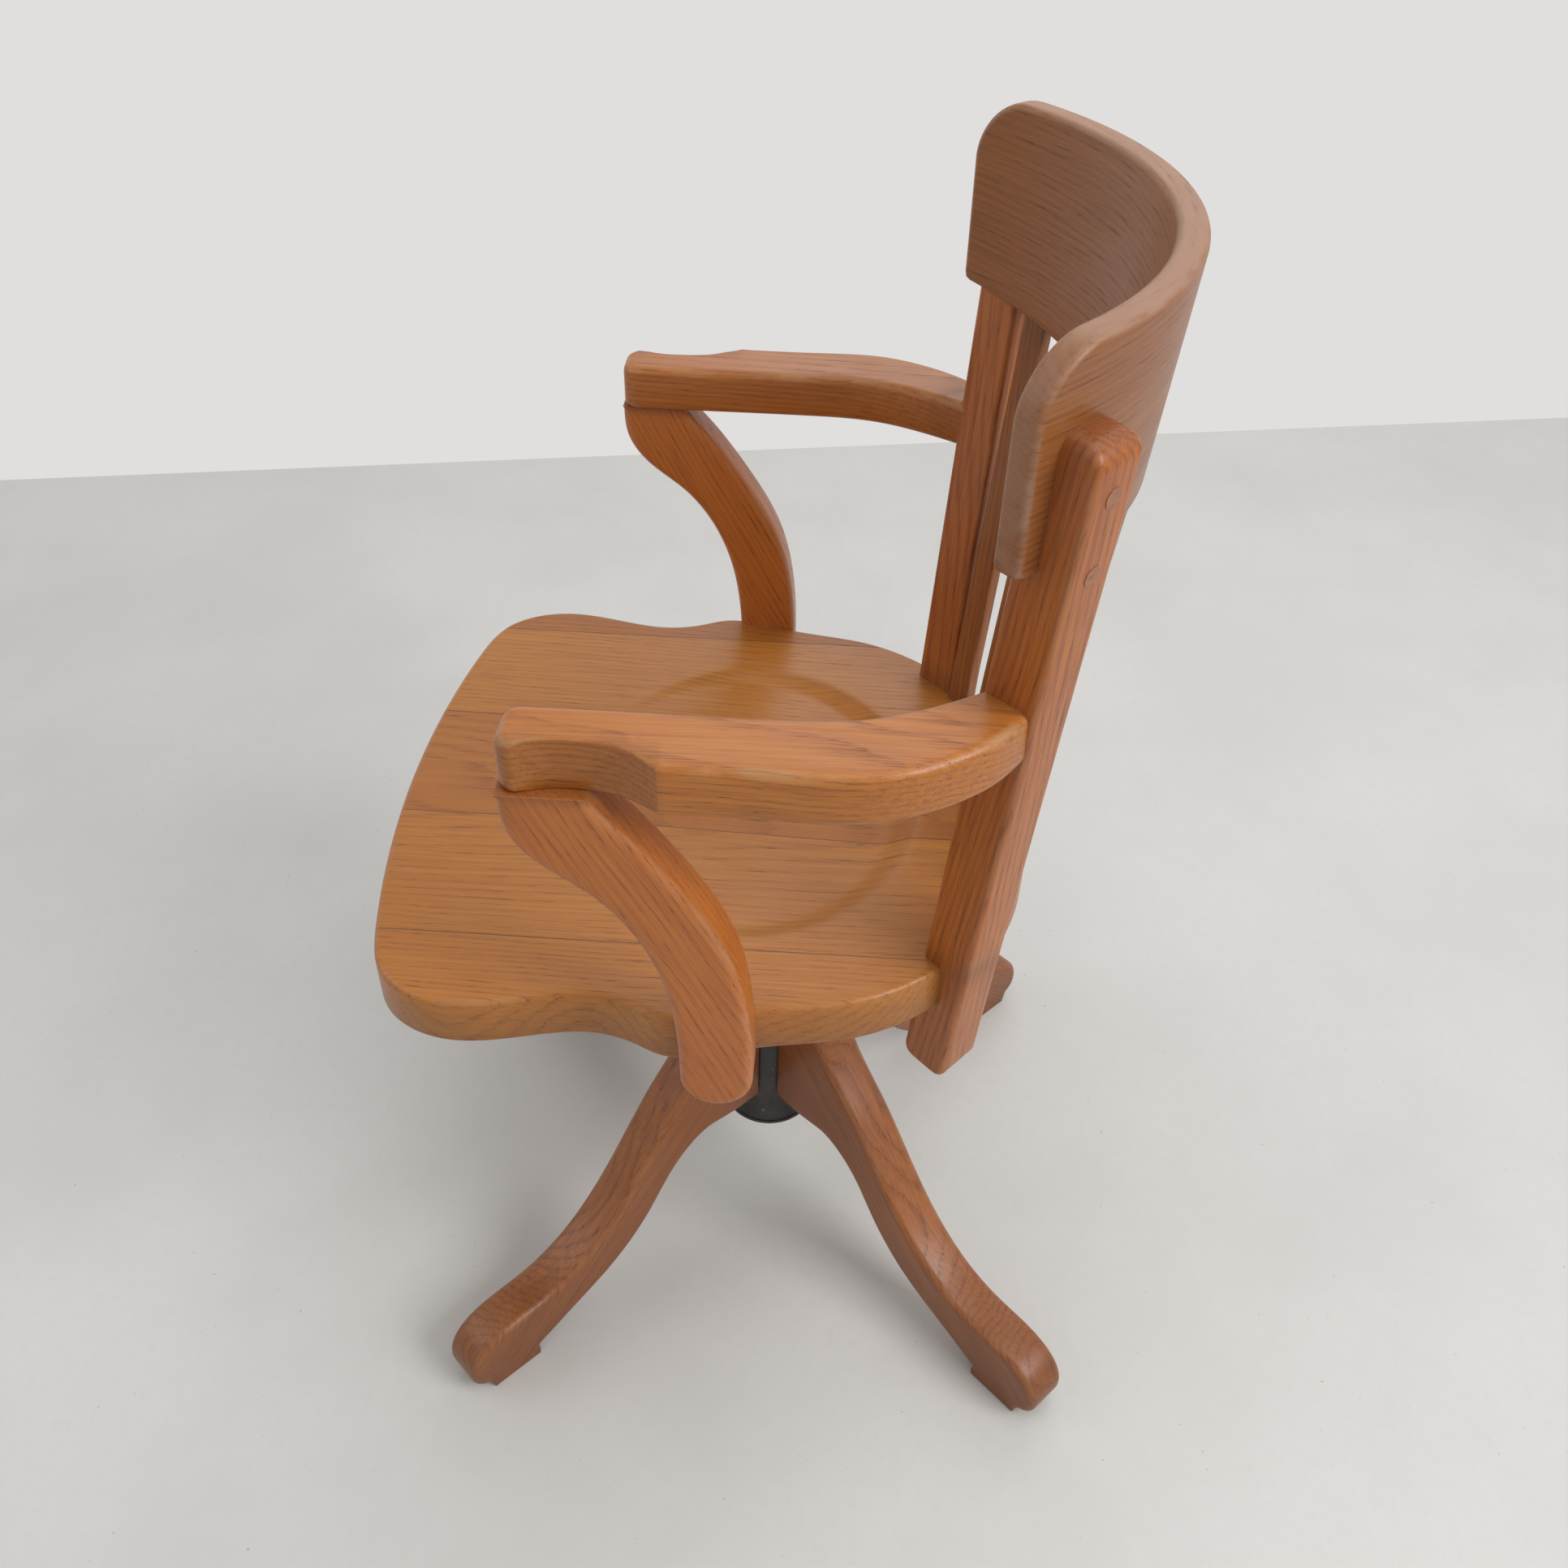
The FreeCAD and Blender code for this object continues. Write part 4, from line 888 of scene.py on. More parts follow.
@dataclass
class SeatBoard:
    """The dished seat, glued up from boards that run from front to back."""

    top: float = 0.452
    thickness: float = 0.037
    front: float = -0.274
    front_radius: float = 0.866
    corner: Point = (0.206, -0.242)
    widest: Point = (0.228, -0.194)
    waist: Point = (0.2145, -0.106)
    shoulder: Point = (0.230, -0.058)
    rear_side_radius: float = 0.218
    rear_depth: float = 0.186
    rear_bulge: float = 1.5
    rear_corner: float = 54.0
    edge_round: float = 0.0045
    dish: Point = (0.154, 0.126)
    dish_centre: float = -0.020
    dish_depth: float = 0.009
    dish_wall: float = 0.024
    dish_soft: float = 0.001
    post_mark: Point = (0.158, 0.128)
    arm_mark: Point = (0.218, -0.020)

    def rear_point(self, angle: float, inset: float = 0.0) -> Point:
        """A place on the seat's rear edge, or a little inside it.

        Args:
            angle: degrees from straight back.
            inset: how far inside the edge it lies.

        Returns:
            Its X and Y.
        """
        turn = math.radians(angle)
        bulge = abs(math.sin(turn))**self.rear_bulge
        reach = self.rear_depth + (self.rear_side_radius - self.rear_depth) * bulge - inset
        return reach * math.sin(turn), reach * math.cos(turn)

    def _half(self) -> list[Point]:
        """The outline at +X, from the middle of the front to the middle of the back."""
        outline = []
        for x in (0.0, self.corner[0] * 0.42, self.corner[0] * 0.78):
            outline.append((x, self.front + self.front_radius - math.sqrt(self.front_radius**2 - x**2)))
        outline += [
            self.corner, (self.widest[0] - 0.005, self.widest[1] - 0.024), self.widest,
            (self.waist[0] + 0.005, self.waist[1] - 0.036), self.waist,
            (self.waist[0] + 0.0065, self.waist[1] + 0.027), self.shoulder,
            (self.shoulder[0] - 0.004, self.shoulder[1] + 0.034)]
        return outline + [self.rear_point(angle) for angle in (88.0, 72.0, 54.0, 36.0, 18.0, 0.0)]

    def hollow(self, x: Array, y: Array) -> Array:
        """How far the dish lies below the seat's top.

        Args:
            x: places across the seat.
            y: places along it.

        Returns:
            The depth at each place.
        """
        run = np.sqrt((x / self.dish[0])**2 + ((y - self.dish_centre) / self.dish[1])**2)
        back = self.dish_centre + self.dish[1]
        front = self.dish_centre - self.dish[1]
        floor = self.dish_depth * np.clip((y - front) / (back - front), 0.0, 1.1)
        wall = self.dish_depth * (1.0 - run) * self.dish[0] / self.dish_wall
        lower = 0.5 * (floor + wall - np.sqrt((floor - wall)**2 + self.dish_soft**2))
        rim = 0.8 * self.dish_soft
        return 0.5 * (lower + np.sqrt(lower**2 + rim**2)) - 0.2 * self.dish_soft

    def build(self) -> bpy.types.Object:
        """Makes the seat's mesh.

        Returns:
            The seat.
        """
        count, across, along = 400, 110, 116
        curve = smooth_line(self._half(), count, (1.0, 0.0), (-1.0, 0.0))
        mirror = curve[::-1] * np.array([-1.0, 1.0])
        corner = int(np.argmin(np.linalg.norm(curve - np.array(self.corner), axis=1)))
        rear_corner = np.array(self.rear_point(self.rear_corner))
        rear = int(np.argmin(np.linalg.norm(curve - rear_corner, axis=1)))
        front_line = even_steps(chain(mirror[count - corner:], curve[:corner + 1]), across)
        rear_line = even_steps(chain(mirror[:count - rear + 1][::-1], curve[rear:][::-1]), across)
        right_line = even_steps(curve[corner:rear + 1], along)
        left_line = even_steps(mirror[count - rear:count - corner + 1][::-1], along)
        board = Board(
            "seat_board", front_line, rear_line, left_line, right_line, self.thickness,
            self.edge_round, self.edge_round, self.edge_round, self.edge_round,
            back_share=0.7, grain_angle=math.pi / 2)

        def place(x: Array, y: Array, w: Array) -> Array:
            upper = np.clip(w / (self.thickness / 2), 0.0, 1.0) > 0.99
            return np.column_stack([x, y, self.top - self.thickness / 2 + w
                                    - np.where(upper, self.hollow(x, y), 0.0)])

        return board.build(place)

    def dress(self, seat: bpy.types.Object, finish: bpy.types.Material) -> None:
        """Gives the seat its dirt and painted shade, and its finish.

        Args:
            seat: the seat's mesh.
            finish: its oak.
        """
        co = points_of(seat)
        x, y, z = co.T
        # Painted shade and dirt: darker where the posts and supports meet the seat.
        near_post, near_arm = (
            np.exp(-((np.abs(x) - mark[0])**2 + (y - mark[1])**2) / reach**2)
            for mark, reach in ((self.post_mark, 0.022), (self.arm_mark, 0.020)))
        # Painted shade on the dish's wall just inside its rim, and on the seat's underside.
        run = np.sqrt((x / self.dish[0])**2 + ((y - self.dish_centre) / self.dish[1])**2)
        in_dish = (y > -0.08) & (z > self.top - self.dish_depth - 0.003)
        valley = np.exp(-((run - 0.985) / 0.02)**2) * 0.22 * in_dish
        under = np.where(z < self.top - self.thickness * 0.9, 0.5, 0.0)
        store(seat, "grime", np.clip(0.55 * near_post + 0.4 * near_arm + valley + under, 0.0, 1.0))
        settle(seat, Body.SEAT, Slot.SEAT, finish, "seat")


@dataclass
class BackFrame:
    """Posts, slats and the bent crest rail."""

    seat_top: float = 0.452
    post_foot: Point = (0.1614, 0.1078)
    splay: float = 0.09
    rake: float = 0.057
    turn: float = 42.0
    post_depth: float = 0.0365
    post_width: float = 0.036
    post_bottom: float = 0.342
    post_top: float = 0.850
    foot_round: float = 0.015
    head_round: float = 0.013
    dome: float = 0.009
    post_round: float = 0.0038
    crest_radius: float = 0.270
    crest_thickness: float = 0.018
    crest_low: float = 0.770
    crest_middle: float = 0.754
    crest_top: float = 0.892
    crest_ahead: float = 0.0025
    crest_past: float = 0.015
    crest_flare: float = 0.009
    crest_corner: float = 0.038
    crest_foot: float = 0.006
    crest_rake: float = 0.08
    crest_round: float = 0.0042
    slat_count: int = 8
    slat_pitch: float = 12.0
    slat_inset: float = 0.013
    slat_size: Point = (0.020, 0.011)
    slat_tenon: float = 0.012

    @property
    def out(self) -> Array:
        """The level direction that a left post's outer back face looks in."""
        turn = math.radians(self.turn)
        return np.array([math.sin(turn), math.cos(turn), 0.0])

    @property
    def normal(self) -> Array:
        """The same, square to the post's own length."""
        normal = self.out - self.axis * self.out.dot(self.axis)
        return normal / np.linalg.norm(normal)

    @property
    def across(self) -> Array:
        """The direction across that face, towards the chair's middle."""
        return np.cross(self.axis, self.normal)

    @property
    def axis(self) -> Array:
        """The direction that a left post rises in."""
        rise = np.array([self.splay, self.rake, 1.0])
        return rise / np.linalg.norm(rise)

    def arris(self, height: float) -> Array:
        """Where a left post's inner front arris is at a height."""
        rise = height - self.seat_top
        return np.array([self.post_foot[0] + self.splay * rise, self.post_foot[1] + self.rake * rise, height])

    def post(self, hand: Hand) -> bpy.types.Object:
        """One back post, square with domed ends.

        Args:
            hand: its side.

        Returns:
            The post.
        """
        foot = self.arris(self.post_bottom)
        length = (self.post_top - self.post_bottom) / self.axis[2]
        f, h, depth = self.foot_round, self.head_round, self.post_depth
        near = chain(arc_line((f, f), f, 225, 180, 6), even_steps(np.array([[0, f], [0, length - h]]), 90),
                     arc_line((h, length - h), h, 180, 135, 5))
        far = chain(arc_line((depth - f, f), f, 315, 360, 6),
                    even_steps(np.array([[depth, f], [depth, length - h]]), 90),
                    arc_line((depth - h, length - h), h, 0, 45, 5))
        bottom = chain(arc_line((f, f), f, 225, 270, 6), arc_line((depth - f, f), f, 270, 315, 6))
        top = chain(arc_line((h, length - h), h, 135, 90, 6), arc_line((depth - h, length - h), h, 90, 45, 6))
        count = max(len(bottom), len(top)) - 1
        board = Board(
            f"post_{hand.word}", near, far, even_steps(bottom, count), even_steps(top, count),
            self.post_width, self.post_round, self.post_round, 0.004, 0.003, grain_angle=math.pi / 2,
            grain_origin=(0.3 * hand.value, 0.11, 0.02 * hand.value))

        def place(x: Array, y: Array, w: Array) -> Array:
            dome, half = self.dome, self.post_width / 2
            gap = dome - np.clip(np.minimum(y, length - y), 0.0, dome)
            w = w * (half - dome + np.sqrt(dome**2 - gap**2)) / half
            spot = (foot + x[:, None] * self.normal + y[:, None] * self.axis
                    + (w + half)[:, None] * self.across)
            return spot * np.array([hand.value, 1.0, 1.0])

        return board.build(place)

    def crest_centre(self, height: Union[float, Array]) -> Union[float, Array]:
        """The Y of the crest's leaning centre line at a height."""
        arris = self.arris(self.crest_low)
        depth = math.sqrt(self.crest_radius**2 - arris[0]**2)
        return arris[1] - self.crest_ahead - depth + self.crest_rake * (height - self.crest_low)

    def _end_x(self) -> float:
        """How far out the crest's ends lie."""
        return self.arris(self.crest_low)[0] + self.crest_past

    def crest(self) -> bpy.types.Object:
        """The crest rail, a board with big upper corners bent round the sitter's back.

        Returns:
            The crest.
        """
        end_x = self._end_x()
        middle = self.crest_radius + self.crest_thickness / 2
        reach = middle * math.asin(end_x / self.crest_radius)
        big, small, top = self.crest_corner, self.crest_foot, self.crest_top
        length, tall = 96, 26
        foot_reach = reach - self.crest_flare
        s = np.linspace(-foot_reach + small, foot_reach - small, 81)
        sag = (np.sin(s / middle) * middle / end_x)**2
        base = np.column_stack([s, self.crest_middle + (self.crest_low - self.crest_middle) * sag])
        low = float(base[-1, 1])
        right_foot = (foot_reach - small, low + small)
        left_foot = (-foot_reach + small, low + small)
        lower = chain(arc_line(left_foot, small, 225, 270, 4), base, arc_line(right_foot, small, 270, 315, 4))
        right_head = (reach - big, top - big)
        left_head = (-reach + big, top - big)
        upper = chain(arc_line(left_head, big, 135, 90, 10),
                      even_steps(np.array([[-reach + big, top], [reach - big, top]]), 60),
                      arc_line(right_head, big, 90, 45, 10))
        finish = chain(arc_line(right_foot, small, 315, 360, 4),
                       np.array([[foot_reach, low + small], [reach, top - big]]),
                       arc_line(right_head, big, 0, 45, 12))
        start = finish * np.array([-1.0, 1.0])
        ease = np.linspace(0.0, 1.0, length + 1)
        upright = np.linspace(0.0, 1.0, tall + 1)
        board = Board(
            "crest_board", stretched(lower, ease), stretched(upper, ease), stretched(start, upright),
            stretched(finish, upright), self.crest_thickness, self.crest_round, self.crest_round,
            self.crest_round, self.crest_round, grain_origin=(0.9, 0.35, 0.4))

        def place(x: Array, y: Array, w: Array) -> Array:
            angle = x / middle
            radius = middle + w
            return np.column_stack([radius * np.sin(angle), self.crest_centre(y) + radius * np.cos(angle), y])

        return board.build(place)

    def slats(self, seat: SeatBoard) -> list[bpy.types.Object]:
        """The upright slats between seat and crest.

        Args:
            seat: the seat that they stand in.

        Returns:
            One object for each slat.
        """
        made = []
        width, thick = self.slat_size
        for index in range(self.slat_count):
            angle = (index - (self.slat_count - 1) / 2) * self.slat_pitch
            turn = math.radians(angle)
            out = np.array([math.sin(turn), math.cos(turn), 0.0])
            foot = np.array([*seat.rear_point(angle, self.slat_inset), self.seat_top])
            head = self._crest_meeting(turn)
            lean = (head - foot) / np.linalg.norm(head - foot)
            side = np.cross(out, lean)
            side /= np.linalg.norm(side)
            face = np.cross(lean, side)
            length = np.linalg.norm(head - foot) + 2 * self.slat_tenon
            low = even_steps(np.array([[0.0, -width / 2], [length, -width / 2]]), 60)
            end = even_steps(np.array([[0.0, -width / 2], [0.0, width / 2]]), 4)
            board = Board(
                f"slat_{index + 1}", low, low + [0.0, width], end, end + [length, 0.0], thick,
                0.0022, 0.0022, 0.001, 0.001, steps=4, grain_origin=(0.37 * index, 0.21 * index, 0.05))

            def place(x: Array, y: Array, w: Array) -> Array:
                return (foot - lean * self.slat_tenon + x[:, None] * lean + y[:, None] * side
                        + w[:, None] * face)

            made.append(board.build(place))
        return made

    def _crest_meeting(self, turn: float) -> Array:
        """Where a slat's centre line meets the crest's lower edge."""
        radius = self.crest_radius + self.crest_thickness / 2
        end_x = self._end_x()
        height, x, reach = self.crest_middle, 0.0, 0.0
        for _ in range(8):
            centre = self.crest_centre(height)
            inset = centre * math.cos(turn)
            reach = inset + math.sqrt(inset**2 - centre**2 + radius**2)
            x = reach * math.sin(turn)
            height = self.crest_middle + (self.crest_low - self.crest_middle) * (x / end_x)**2
        return np.array([x, reach * math.cos(turn), height])

    def dress(self, posts: dict[Hand, bpy.types.Object], crest: bpy.types.Object,
              slats: list[bpy.types.Object], finishes: dict[str, bpy.types.Material]) -> None:
        """Gives the back its dirt and painted shade, and its finishes.

        Args:
            posts: the two posts.
            crest: the crest rail.
            slats: the slats.
            finishes: the oak of each kind of piece.
        """
        for hand, post in posts.items():
            z = points_of(post)[:, 2]
            # Painted shade and dirt: darker at the post's head beside the crest, at its foot under the seat,
            # and where it passes the seat's top.
            head = np.clip((z - self.post_top + 0.012) / 0.012, 0.0, 1.0) * 0.75
            foot = np.clip((self.post_bottom + 0.02 - z) / 0.03, 0.0, 1.0) * 0.35
            seat = np.exp(-((z - self.seat_top - 0.004) / 0.012)**2) * 0.45
            store(post, "grime", np.clip(head + foot + seat, 0.0, 1.0))
            settle(post, Body.SEAT, Slot.FRAME, finishes["post"], f"back_post_{hand.word}")
        z = points_of(crest)[:, 2]
        # Painted shade and dirt: darker along the crest's lower edge, above the slats.
        store(crest, "grime", np.clip((self.crest_middle + 0.01 - z) / 0.02, 0.0, 0.4))
        settle(crest, Body.SEAT, Slot.FRAME, finishes["crest"], "crest_rail")
        for index, slat in enumerate(slats):
            z = points_of(slat)[:, 2]
            # Painted shade and dirt: darker at the slat's ends, where it enters seat and crest.
            ends = np.exp(-((z - self.seat_top) / 0.012)**2) + np.exp(-((z - self.crest_middle) / 0.02)**2)
            store(slat, "grime", np.clip(0.5 * ends, 0.0, 1.0))
            settle(slat, Body.SEAT, Slot.FRAME, finishes["slat"], f"back_slat_{index + 1}")


@dataclass
class Arms:
    """Arms and the S-shaped boards that carry them."""

    underside: float = 0.650
    thickness: float = 0.034
    inner: float = 0.2155
    outer: float = 0.265
    nose: float = -0.137
    nose_round: float = 0.012
    nose_outer_round: float = 0.010
    straight: Point = (-0.060, 0.005)
    neck: float = 0.246
    cusp: float = -0.0485
    arm_round: float = 0.0065
    cove_round: float = 0.0016
    end_width: float = 0.031
    bite: float = 0.008
    support_inner: float = 0.2205
    support_bottom: float = 0.399
    foot_front: float = -0.044
    foot_rear: float = 0.002
    head_front: float = -0.138
    head_rear: float = -0.089
    support_round: float = 0.0060
    front_shares: Shares = (
        (0.021, 0.895), (0.181, 0.789), (0.479, 0.689), (0.734, 0.557), (0.904, 0.386), (0.979, 0.202))
    rear_shares: Shares = (
        (0.033, 0.272), (0.187, 0.522), (0.495, 0.737), (0.846, 0.921))

    def arm(self, hand: Hand, back: BackFrame) -> bpy.types.Object:
        """One arm, from its nose to the post.

        Args:
            hand: its side.
            back: the frame that it butts on.

        Returns:
            The arm.
        """
        inside = back.arris(self.underside + self.thickness) + back.across * self.bite
        outside = inside + back.out * self.end_width
        r = self.nose_round
        inner = smooth_line([
            (self.inner, self.nose + r), (self.inner, self.straight[0]), (self.inner, self.straight[1]),
            (self.inner - 0.005, inside[1] - 0.068), (self.inner - 0.020, inside[1] - 0.032),
            (inside[0], inside[1])], 70)
        inner = chain(arc_line((self.inner + r, self.nose + r), r, 225, 180, 6), inner)
        cusp = (self.outer, self.cusp)
        q = self.nose_outer_round
        neck_nose = self.neck + 0.0065
        outer_corner = (neck_nose - q, self.nose + q)
        edge = smooth_line([
            (neck_nose, self.nose + q), (self.neck + 0.002, self.cusp - 0.068),
            (self.neck, self.cusp - 0.044), (self.neck + 0.003, self.cusp - 0.024),
            (self.outer - 0.007, self.cusp - 0.008), cusp], 34)
        edge = chain(arc_line(outer_corner, q, 315, 360, 6), edge)
        side = smooth_line([
            cusp, (self.outer, self.straight[1]), (self.outer - 0.002, outside[1] - 0.084),
            (self.outer - 0.017, outside[1] - 0.049), (self.outer - 0.044, outside[1] - 0.016),
            (outside[0], outside[1])], 46, (0.0, 1.0))
        corner = arc_line((self.inner + r, self.nose + r), r, 225, 270, 5)
        nose = chain(corner, np.array([[self.inner + r, self.nose], [neck_nose - q, self.nose]]),
                     arc_line(outer_corner, q, 270, 315, 5))
        steps = 90
        edge_steps = 34
        outer_line = chain(even_steps(edge, edge_steps), even_steps(side, steps - edge_steps))
        step = np.arange(steps + 1)
        in_cove = np.clip(step / 6.0, 0.0, 1.0) * np.clip((edge_steps + 1 - step) / 7.0, 0.0, 1.0)
        rounds = self.arm_round + (self.cove_round - self.arm_round) * in_cove
        board = Board(
            f"arm_board_{hand.word}", even_steps(inner, steps), outer_line, even_steps(nose, 14),
            even_steps(np.array([inside[:2], outside[:2]]), 14), self.thickness,
            self.arm_round, rounds, self.arm_round, 0.001, back_share=0.8, grain_angle=math.pi / 2,
            grain_origin=(0.5 + 0.7 * hand.value, 0.2, 0.03))
        middle = self.underside + self.thickness / 2

        def place(x: Array, y: Array, w: Array) -> Array:
            return np.column_stack([x * hand.value, y, middle + w])

        return board.build(place)

    def support(self, hand: Hand, seat_top: float) -> bpy.types.Object:
        """One S-shaped support.

        Args:
            hand: its side.
            seat_top: the seat's height; not used.

        Returns:
            The support.
        """
        radius = (self.foot_rear - self.foot_front) / 2
        centre = (self.foot_rear + self.foot_front) / 2
        low = self.support_bottom + radius

        front = smooth_line(
            [(self.head_front, self.underside)]
            + shared_out(self.front_shares, (self.head_front, low), (self.foot_front, self.underside))
            + [(self.foot_front, low)], 120, (0.0, -1.0), (0.0, -1.0))
        rear = smooth_line(
            [(self.foot_rear, low)]
            + shared_out(self.rear_shares, (self.foot_rear, low), (self.head_rear, self.underside))
            + [(self.head_rear, self.underside)], 120, (0.0, 1.0), (-0.5, 1.0))
        front = chain(arc_line((centre, low), radius, 225, 180, 8), front[::-1])
        rear = chain(arc_line((centre, low), radius, 315, 360, 8), rear)
        foot = arc_line((centre, low), radius, 225, 315, 14)
        head = even_steps(np.array([front[-1], rear[-1]]), 14)
        board = Board(
            f"arm_support_board_{hand.word}", even_steps(front, 96), even_steps(rear, 96), foot, head,
            self.thickness, self.support_round, self.support_round, self.support_round, 0.0008,
            grain_angle=math.radians(118), grain_origin=(0.8 * hand.value, 0.4, 0.15 * hand.value))
        middle = self.support_inner + self.thickness / 2

        def place(x: Array, y: Array, w: Array) -> Array:
            return np.column_stack([(middle + w) * hand.value, x, y])

        return board.build(place)

    def dress(self, arms: dict[Hand, bpy.types.Object], supports: dict[Hand, bpy.types.Object],
              finishes: dict[str, bpy.types.Material]) -> None:
        """Gives the arms and supports their dirt and painted shade, and their finishes.

        Args:
            arms: the two arms.
            supports: the two supports.
            finishes: the oak of each kind of piece.
        """
        for hand, arm in arms.items():
            x, y, z = (points_of(arm) * [hand.value, 1.0, 1.0]).T
            # Painted shade and dirt: darker where the arm meets the post, and in the cove of its outer edge.
            joint = np.exp(-((y - 0.118)**2 + (x - 0.195)**2) / 0.018**2) * 0.5
            cove = ((x > self.neck - 0.004) & (y < self.cusp)) * 0.28
            store(arm, "grime", np.clip(joint + cove, 0.0, 1.0))
            settle(arm, Body.SEAT, Slot.FRAME, finishes["arm"], f"arm_{hand.word}")
        for hand, support in supports.items():
            z = points_of(support)[:, 2]
            # Painted shade and dirt: darker at the support's head, under the arm.
            seam = np.exp(-((z - self.underside) / 0.005)**2) * 0.7
            store(support, "grime", np.clip(seam, 0.0, 1.0))
            settle(support, Body.SEAT, Slot.FRAME, finishes["support"], f"arm_support_{hand.word}")


@dataclass
class Legs:
    """The four splayed legs."""

    names: tuple[str, ...] = ("rear_left", "rear_right", "front_right", "front_left")
    first_angle: float = 46.2
    thickness: float = 0.038
    inner: float = 0.030
    head: float = 0.279
    underside: float = 0.138
    toe: float = 0.335
    foot: float = 0.062
    shoulder_run: float = 0.026
    under_run: float = 0.052
    pad_start: float = 0.273
    pad_end: float = 0.318
    pad_height: float = 0.008
    edge_round: float = 0.0065
    top_shares: Shares = (
        (0.164, 0.816), (0.295, 0.590), (0.492, 0.240), (0.672, 0.050))
    under_shares: Shares = (
        (0.852, 0.094), (0.587, 0.276), (0.360, 0.567), (0.190, 0.874))

    def leg(self, index: int) -> bpy.types.Object:
        """One leg, drawn along +X and turned to its place.

        Args:
            index: its number, counted from the rear left.

        Returns:
            The leg.
        """
        toe, foot, pad = self.toe, self.foot, self.pad_height
        shoulder = (self.inner + self.shoulder_run, self.head)
        crown = smooth_line(
            [shoulder] + shared_out(self.top_shares, (self.inner, foot), (toe, self.head))
            + [(toe - 0.075, foot + 0.004), (toe - 0.038, foot + 0.001), (toe - 0.009, foot - 0.012),
               (toe, foot - 0.032)], 120, (1.0, -0.7), (0.02, -1.0))
        chin = smooth_line([(toe, foot - 0.032), (toe - 0.003, foot - 0.046), (self.pad_end + 0.002, pad)],
                           16, (0.02, -1.0), (-1.0, -0.25))
        upper = chain(np.array([[self.inner, self.head], shoulder]), crown, chin,
                      np.array([[self.pad_end + 0.002, pad], [self.pad_end, 0.0]]))
        heel = (self.pad_start - 0.002, pad + 0.003)
        armpit = (self.inner + self.under_run, self.underside)
        hollow = shared_out(self.under_shares, (armpit[0], heel[1]), (heel[0], self.underside))
        below = smooth_line([heel] + hollow + [armpit], 100, (-1.0, 0.35), (-1.0, 0.02))
        lower = chain(np.array([[self.inner, self.underside], armpit]), below[::-1],
                      np.array([heel, [self.pad_start, 0.0]]))
        steps = 120
        ease = np.linspace(0.0, 1.0, steps + 1)
        run = run_along(stretched(upper, ease))
        rounds = self.edge_round * np.clip((run - 0.018) / 0.03, 0.12, 1.0)
        rounds[-3:] = 0.002
        under_rounds = self.edge_round * np.clip((ease - 0.08) / 0.12, 0.12, 0.9)
        under_rounds[-3:] = 0.002
        board = Board(
            f"leg_board_{self.names[index]}", stretched(lower, ease), stretched(upper, ease),
            even_steps(np.array([[self.inner, self.underside], [self.inner, self.head]]), 14),
            even_steps(np.array([[self.pad_start, 0.0], [self.pad_end, 0.0]]), 14), self.thickness,
            under_rounds, rounds, 0.0008, 0.0015, grain_angle=math.radians(-44),
            grain_origin=(0.61 * index, 0.3 * index, 0.12 * index))
        turn = math.radians(self.first_angle + 90.0 * index)

        def place(x: Array, y: Array, w: Array) -> Array:
            return np.column_stack([x * math.cos(turn) - w * math.sin(turn),
                                    x * math.sin(turn) + w * math.cos(turn), y])

        return board.build(place)

    def dress(self, legs: list[bpy.types.Object], finish: bpy.types.Material) -> None:
        """Gives the legs their dirt and painted shade, darker towards the floor and by the hub, and their
        finish.

        Args:
            legs: the four legs.
            finish: their oak.
        """
        for name, leg in zip(self.names, legs):
            x, y, z = points_of(leg).T
            # Dirt and painted shade: darker towards the floor and where the leg meets the hub.
            feet = np.clip((0.10 - z) / 0.10, 0.0, 1.0)**1.3 * 0.62
            hub = np.exp(-((np.hypot(x, y) - self.inner) / 0.012)**2) * 0.4
            store(leg, "grime", np.clip(feet + hub, 0.0, 1.0))
            settle(leg, Body.BASE, Slot.LEG, finish, f"leg_{name}")


@dataclass
class Ironwork:
    """The castings, spindle and fasteners, which keep their shapes and take their finishes."""

    black: tuple[str, ...] = ("hub", "height_wheel", "seat_iron")
    steel: tuple[str, ...] = (
        "spindle", "key_screw", "thrust_washer", "shoulder_washer", "retaining_washer", "retaining_bolt",
        "leg_flange_screws", "leg_lug_screws", "seat_iron_screws", "crest_screws")
    brass: tuple[str, ...] = ("upper_bush", "lower_bush")
    plugs: tuple[str, ...] = ("crest_plugs",)
    dowels: tuple[str, ...] = ("arm_dowels", "arm_head_dowels", "support_dowels", "post_dowels")

    def dress(self, finishes: dict[str, bpy.types.Material]) -> None:
        """Gives each node its finish.

        Args:
            finishes: the materials by the names of this class's groups.
        """
        for group in ("black", "steel", "brass", "plugs", "dowels"):
            for name in getattr(self, group):
                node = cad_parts[name]
                for index in range(len(node.material_slots)):
                    node.material_slots[index].material = finishes[group]
                LOG.info("%s: %s", name, group)


